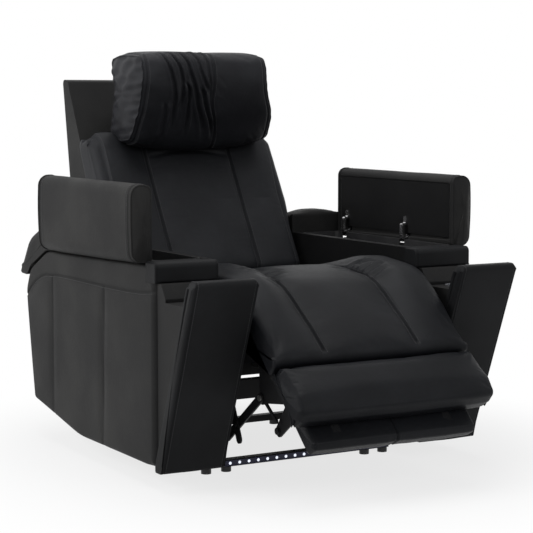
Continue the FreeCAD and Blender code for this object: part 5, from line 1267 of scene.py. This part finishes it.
rounded = rounding(flat[:, 0], edge_gap)
curved_groove, upright_groove, foam_rise, foam_ripple = 0.0030, 0.0026, 0.0030, 0.0007
groove = curved_groove * seam_dent(seam_gap, 0.0035) + upright_groove * seam_dent(upright_gap, 0.0032)
ripple = foam_ripple * wave_sum(flat[:, 0] * 0.07, flat[:, 1] * 0.12, 7.0)
softness = foam_rise * (1 - np.exp(-edge_gap / 0.05)) + ripple
face_x = outer_x - rounded - groove + softness * (1 - seam_dent(seam_gap, 0.02)) * (1 - seam_dent(upright_gap, 0.02))
points = np.vstack([np.column_stack([face_x, flat]), np.column_stack([np.full(len(flat), inner_x), flat])])
face_quads = grid_faces(face_columns, face_rows, False)
index = np.arange(len(flat)).reshape(face_columns, face_rows)
rim = np.concatenate([index[:, 0], index[-1, 1:], index[::-1, -1][1:], index[0, ::-1][1:]])
rim_quads = np.column_stack([rim[:-1], rim[1:], rim[1:] + len(flat), rim[:-1] + len(flat)])
panel_quads = np.vstack([face_quads, face_quads[:, ::-1] + len(flat), rim_quads[:, ::-1]])
panel_left = make_mesh("arm_side_cover_left", points, panel_quads, [], body_leather)
face_seams = np.maximum(seam_dent(seam_gap, 0.003), seam_dent(upright_gap, 0.003))
mark_seams(panel_left, np.concatenate([face_seams, np.zeros(len(flat))]))
print("arm side cover:", len(panel_left.data.polygons), "faces")

# %% [markdown]
# The grid's ends are closed by merging their doubled points. Then pockets for the hinges and the corner
# that the bin's front block fills are cut out, and the curved seam gets its row of stitches.


# %% Close the side panels and sew them
def tidy_shell(piece):
    """Merge doubled points and turn all faces outwards."""
    work = bmesh.new()
    work.from_mesh(piece.data)
    bmesh.ops.remove_doubles(work, verts=work.verts, dist=1e-6)
    bmesh.ops.recalc_face_normals(work, faces=work.faces)
    work.to_mesh(piece.data)
    work.free()


tidy_shell(panel_left)
pockets = [((440, y - hinge_room, 575.7), (497, y + hinge_room, 628)) for y in hinge_ys]
block_corner = ((300, -330, 543), (520, -258, 620))
cut_boxes(panel_left, pockets + [block_corner])


def on_face(path, gap):
    """The panel's outer surface along a side-view path that keeps a gap from its seam."""
    run = np.gradient(path, axis=0)
    run /= np.linalg.norm(run, axis=1)[:, None]
    moved = path + np.column_stack([-run[:, 1], run[:, 0]]) * gap
    away = distance_to(moved, arm_outline)
    x = outer_x + 0.0002 - rounding(moved[:, 0], away)
    places = np.column_stack([x + 0.0016 * (1 - np.exp(-away / 0.05)), moved])
    return places, np.tile([1.0, 0.0, 0.0], (len(path), 1))


arm_thread = stitches("arm_stitches_left", [on_face(curved_seam[4:-3], 0.0055)])
both_sides(panel_left, "base", "arm_outer_panel_{}")
both_sides(arm_thread, "base")
print("arm side cover after the cut-outs:", len(panel_left.data.polygons), "faces")

# %% [markdown]
# At the front of each arm stands a leaning slab, a board wrapped in foam and leather with its leather
# pulled over the top and sewn down along both edges. Its rear face is cut upright where it meets the arm.
# Its stations lie close together, because the edges have small radii, and its face swells a little.

# %% Leaning slabs
arm_middle, arm_half = 0.407, 0.093
slab_count, slab_slope = 260, 517 / 194
slab_corners = [(-536, 567), (-494, 567), (-306.6, 567 - (-306.6 + 494) * slab_slope), (-306.6, 50), (-342, 50)]
slab_ring = ring(mm(*slab_corners), mm(11, 12, 2, 4, 8), slab_count)
slab_out = outward(slab_ring)
slab_weights = np.where((slab_out[:, 0] > 0.9) | (slab_out[:, 1] < -0.5), 0.0, 1.0)
slab_crown = superellipse(0.014, arm_half, 12, arm_middle)
slab_stations = stations_between(arm_half, (), 0.0062, 0.0022) + arm_middle
slab = Cushion("front_slab_cover_left", slab_ring, slab_weights, slab_stations, slab_crown, shaded_slab_leather, dome=0.0008)
place = corners_of(slab.piece)
face_share = np.concatenate([np.tile(smooth_step(-slab_out[:, 0], 0.2, 0.8), slab.rings), [0, 0]])
slab_rise, slab_ripple, slab_groove, corner_drop = 0.0035, 0.0006, 0.0018, 0.012
swell = slab_rise * face_share * (1 - ((place[:, 0] - arm_middle) / arm_half) ** 2)
edge_seam = seam_dent(np.abs(place[:, 0] - arm_middle) - (arm_half - 0.0075), 0.0024)
top_corner = smooth_step(place[:, 2], 0.535, 0.567) * smooth_step(np.abs(place[:, 0] - arm_middle), 0.080, 0.093)
place[:, 2] -= corner_drop * top_corner ** 2
set_corners(slab.piece, place)
ripple = slab_ripple * wave_sum(place[:, 0] * 0.15, place[:, 2] * 0.12, 8.0)
carve(slab.piece, slab_groove * edge_seam * face_share - swell - ripple * face_share)
mark_seams(slab.piece, edge_seam * face_share)
slab_columns = np.nonzero((-slab_out[:, 0] > 0.3) | ((slab_out[:, 1] > 0.5) & (slab_ring[:, 1] > 0.55)))[0]
slab_split = np.nonzero(np.diff(slab_columns) > 1)[0]
slab_start = slab_columns[slab_split[0] + 1] - slab_count if len(slab_split) else slab_columns[0]
slab_stop = slab_columns[slab_split[0]] if len(slab_split) else slab_columns[-1]
slab_lines = [slab.line(arm_middle + s * (arm_half - 0.0115), slab_start, slab_stop, stitch_lift) for s in (-1, 1)]
slab_thread = stitches("slab_stitches_left", slab_lines)
both_sides(slab.piece, "base", "front_slab_{}", fill=0.9)
both_sides(slab_thread, "base")
print("slab cover:", len(slab.piece.data.polygons), "faces")

# %% [markdown]
# Behind each arm's top sits a thick pad that rolls down over the arm's rear corner. It is a cushion whose
# side outline follows that corner, strongly rounded towards both sides of the arm.

# %% Rear arm pads
pad_shares = np.array([(0.0, 0.492), (0.19, 0.479), (0.706, 0.137), (0.762, 0.0), (0.93, 0.01), (1.0, 0.19),
                       (0.75, 0.68), (0.29, 1.0), (0.0, 0.985)])
pad_length, pad_height = 266.0, 180.0
pad_corners = np.array([362.0, 488.0]) + pad_shares * np.array([pad_length, pad_height])
pad_ring = ring(pad_corners / 1000, 0.266 * np.array([0.01, 0.14, 0.12, 0.02, 0.07, 0.17, 0.4, 0.6, 0.07]), 220)
pad_out = outward(pad_ring)
pad_weights = smooth_step(pad_out[:, 1] + pad_out[:, 0] * 0.6, -0.3, 0.5) * smooth_step(pad_ring[:, 0], 0.355, 0.375)
pad_stations = stations_between(arm_half, (), 0.0075, 0.003) + arm_middle
pad_crown = superellipse(0.040, arm_half, 2.6, arm_middle)
pad = Cushion("rear_arm_pad_cover_left", pad_ring, pad_weights, pad_stations, pad_crown, body_leather, dome=0.0005)
place = corners_of(pad.piece)
upper = np.concatenate([np.tile(pad_weights, pad.rings), [0, 0]])
carve(pad.piece, -0.0015 * upper * wave_sum(place[:, 0] * 0.4, place[:, 1] * 0.6, 9.0))
both_sides(pad.piece, "base", "rear_arm_pad_{}", fill=0.8)
print("rear arm pad:", len(pad.piece.data.polygons), "faces")

# %% [markdown]
# A small upholstered block closes the front of each bin. It is a box with a rolled upper edge and a seam
# near each side, and the right one has a recess for the back of the switch panel.

# %% Front blocks of the bins
nose_corners = [(-314, 543.2), (-314, 597), (-258, 597), (-258, 543.2)]
nose_ring = ring(mm(*nose_corners), mm(6, 15, 3, 1), 110)
nose_out = outward(nose_ring)
nose_weights = np.where((nose_out[:, 1] < -0.5) | (nose_out[:, 0] > 0.5), 0.0, 1.0)
nose = Cushion("bin_front_block_left", nose_ring, nose_weights, slab_stations,
               superellipse(0.004, arm_half, 14, arm_middle), shaded_slab_leather, dome=0.0)
place = corners_of(nose.piece)
faces = np.concatenate([np.tile(nose_weights, nose.rings), [0, 0]])
edge_seam = seam_dent(np.abs(place[:, 0] - arm_middle) - (arm_half - 0.006), 0.002)
carve(nose.piece, faces * (0.0012 * edge_seam - 0.0006 * wave_sum(place[:, 0] * 0.3, place[:, 2] * 0.4, 10.0)))
mark_seams(nose.piece, edge_seam * faces)
nose_right = mirrored(nose.piece, "bin_front_block_right")
panel_recess = ((-326.5, -286.5, 547.5), (-309, -181.5, 578.5))
cut_boxes(nose_right, [panel_recess])
dress(nose.piece, "base", "arm_noses", fill=0.9)
dress(nose_right, "base", "arm_noses", fill=0.9)
print("arms are dressed")

# %% [markdown]
# The light strip under the front rail has twenty small lamps. Each is a dome, a quarter ellipse turned
# about its axis, set in an even row along the strip from the CAD.

# %% Lamps of the light strip
lamp_count, lamp_radius, lamp_bulge, lamp_sides = 20, 0.0042, 0.0022, 12
strip_low, strip_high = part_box("light_strip")
lamp_z = (strip_low.z + strip_high.z) / 2
lamp_x = (np.arange(lamp_count) - (lamp_count - 1) / 2) * (strip_high.x - strip_low.x) / lamp_count
rise = np.linspace(0, np.pi / 2, 5)[:-1, None]
turn = np.linspace(0, 2 * np.pi, lamp_sides, endpoint=False)[None, :]
dome_x, dome_z = lamp_radius * np.cos(rise) * np.cos(turn), lamp_radius * np.cos(rise) * np.sin(turn)
dome_y = np.broadcast_to(-lamp_bulge * np.sin(rise), dome_x.shape)
dome_rings = np.stack([dome_x, dome_y, dome_z], axis=-1).reshape(-1, 3)
dome = np.vstack([dome_rings, [(0, -lamp_bulge, 0), (0, 0, 0)]])
dome_quads = grid_faces(4, lamp_sides, True)
i, j = np.arange(lamp_sides), (np.arange(lamp_sides) + 1) % lamp_sides
last_ring, peak, centre = 3 * lamp_sides, 4 * lamp_sides, 4 * lamp_sides + 1
tip = np.column_stack([last_ring + i, last_ring + j, np.full(lamp_sides, peak)])
base_fan = np.column_stack([j, i, np.full(lamp_sides, centre)])
spots = np.column_stack([lamp_x, np.full(lamp_count, strip_low.y + 0.0008), np.full(lamp_count, lamp_z)])
lamp_points = (spots[:, None] + dome[None]).reshape(-1, 3)
offsets = (np.arange(lamp_count) * len(dome))[:, None, None]
lamp_quads = (dome_quads[None] + offsets).reshape(-1, 4)
lamp_fans = (np.concatenate([tip, base_fan])[None] + offsets).reshape(-1, 3)
lamps = make_mesh("strip_lamps", lamp_points, lamp_quads, lamp_fans, glow)
dress(lamps, "base", slot="strip")
print("lamps:", len(spots))

# %% [markdown]
# The chair stands on a plain white floor that fades into a white background. A white floor would throw a
# lot of light up at the chair, so the white is only what the camera and reflections see. To all other
# light the floor is a plain matt surface, and near the chair it keeps some of the chair's shadow.


# %% Floor
def white_share(start):
    """1 for rays from the camera, reflections and clear surfaces, 0 for rays that light the chair."""
    path = start.node("ShaderNodeLightPath").socket.node
    names = ("Is Camera Ray", "Is Glossy Ray", "Is Transmission Ray")
    rays = [Signal(start.tree, path.outputs[name]) for name in names]
    total = rays[0] + rays[1] + rays[2]
    return total.math("MINIMUM", total, 1.0)


def pale_floor():
    """Diffuse floor near the chair that keeps its shadow, plain white further out."""
    finish = bpy.data.materials.new("pale_floor")
    finish.use_nodes = True
    tree = finish.node_tree
    tree.nodes.clear()
    start = Signal(tree)
    place = start.node("ShaderNodeTexCoord", output=3)
    radius = start.node("ShaderNodeVectorMath", {"operation": "LENGTH"}, {0: place}, 1)
    matt = start.node("ShaderNodeBsdfDiffuse", None, {"Color": (0.80, 0.80, 0.80, 1.0)})
    white = start.node("ShaderNodeEmission", None, {"Color": (1.0, 1.0, 1.0, 1.0), "Strength": 1.0})
    share = white_share(start) * (0.76 + 0.24 * radius.between(0.60, 1.25))
    mixed = start.node("ShaderNodeMixShader", None, {0: share, 1: matt, 2: white})
    start.node("ShaderNodeOutputMaterial", None, {"Surface": mixed})
    return finish


floor_reach = 30.0
floor_points = floor_reach * np.array([(-1, -1, 0), (1, -1, 0), (1, 1, 0), (-1, 1, 0)])
floor_mesh = bpy.data.meshes.new("floor")
floor_mesh.from_pydata(floor_points.tolist(), [], [(0, 1, 2, 3)])
floor_mesh.materials.append(pale_floor())
floor = bpy.data.objects.new("floor", floor_mesh)
bpy.context.scene.collection.objects.link(floor)
print("the floor reaches", floor_reach, "m each way")

# %% [markdown]
# The background is the same white for the camera. For the light that reaches the chair it is dim and
# slightly cool, so that black leather stays black.

# %% Background
world = bpy.data.worlds.new("studio")
world.use_nodes = True
world.node_tree.nodes.clear()
start = Signal(world.node_tree)
dim = start.node("ShaderNodeBackground", None, {"Color": (0.95, 0.97, 1.0, 1.0), "Strength": 0.30})
white = start.node("ShaderNodeBackground", None, {"Color": (1.0, 1.0, 1.0, 1.0), "Strength": 1.0})
mixed = start.node("ShaderNodeMixShader", None, {0: white_share(start), 1: dim, 2: white})
start.node("ShaderNodeOutputWorld", None, {"Surface": mixed})
bpy.context.scene.world = world
print("the background is", world.name)

# %% [markdown]
# All lamps are square and large, so that shadows and reflections have soft edges. The left one is the
# strongest and draws the side of the arm. The one overhead and the one in front only fill in.


# %% Lamps
def soft_lamp(name, place, target, power, size):
    """A square area lamp that faces its target."""
    data = bpy.data.lights.new(name, "AREA")
    data.energy, data.size = power, size
    lamp = bpy.data.objects.new(name, data)
    lamp.location = place
    lamp.rotation_euler = (Vector(target) - Vector(place)).to_track_quat("-Z", "Y").to_euler()
    bpy.context.scene.collection.objects.link(lamp)


seat_middle = (0, 0, 0.5)
soft_lamp("left_lamp", (-3.6, 0.8, 2.0), seat_middle, 109.0, 2.6)
soft_lamp("top_lamp", (-0.2, 0.0, 3.6), seat_middle, 62.0, 2.6)
soft_lamp("front_fill", (0.4, -4.2, 2.4), seat_middle, 39.0, 2.0)
bpy.context.scene.view_settings.view_transform = "Standard"
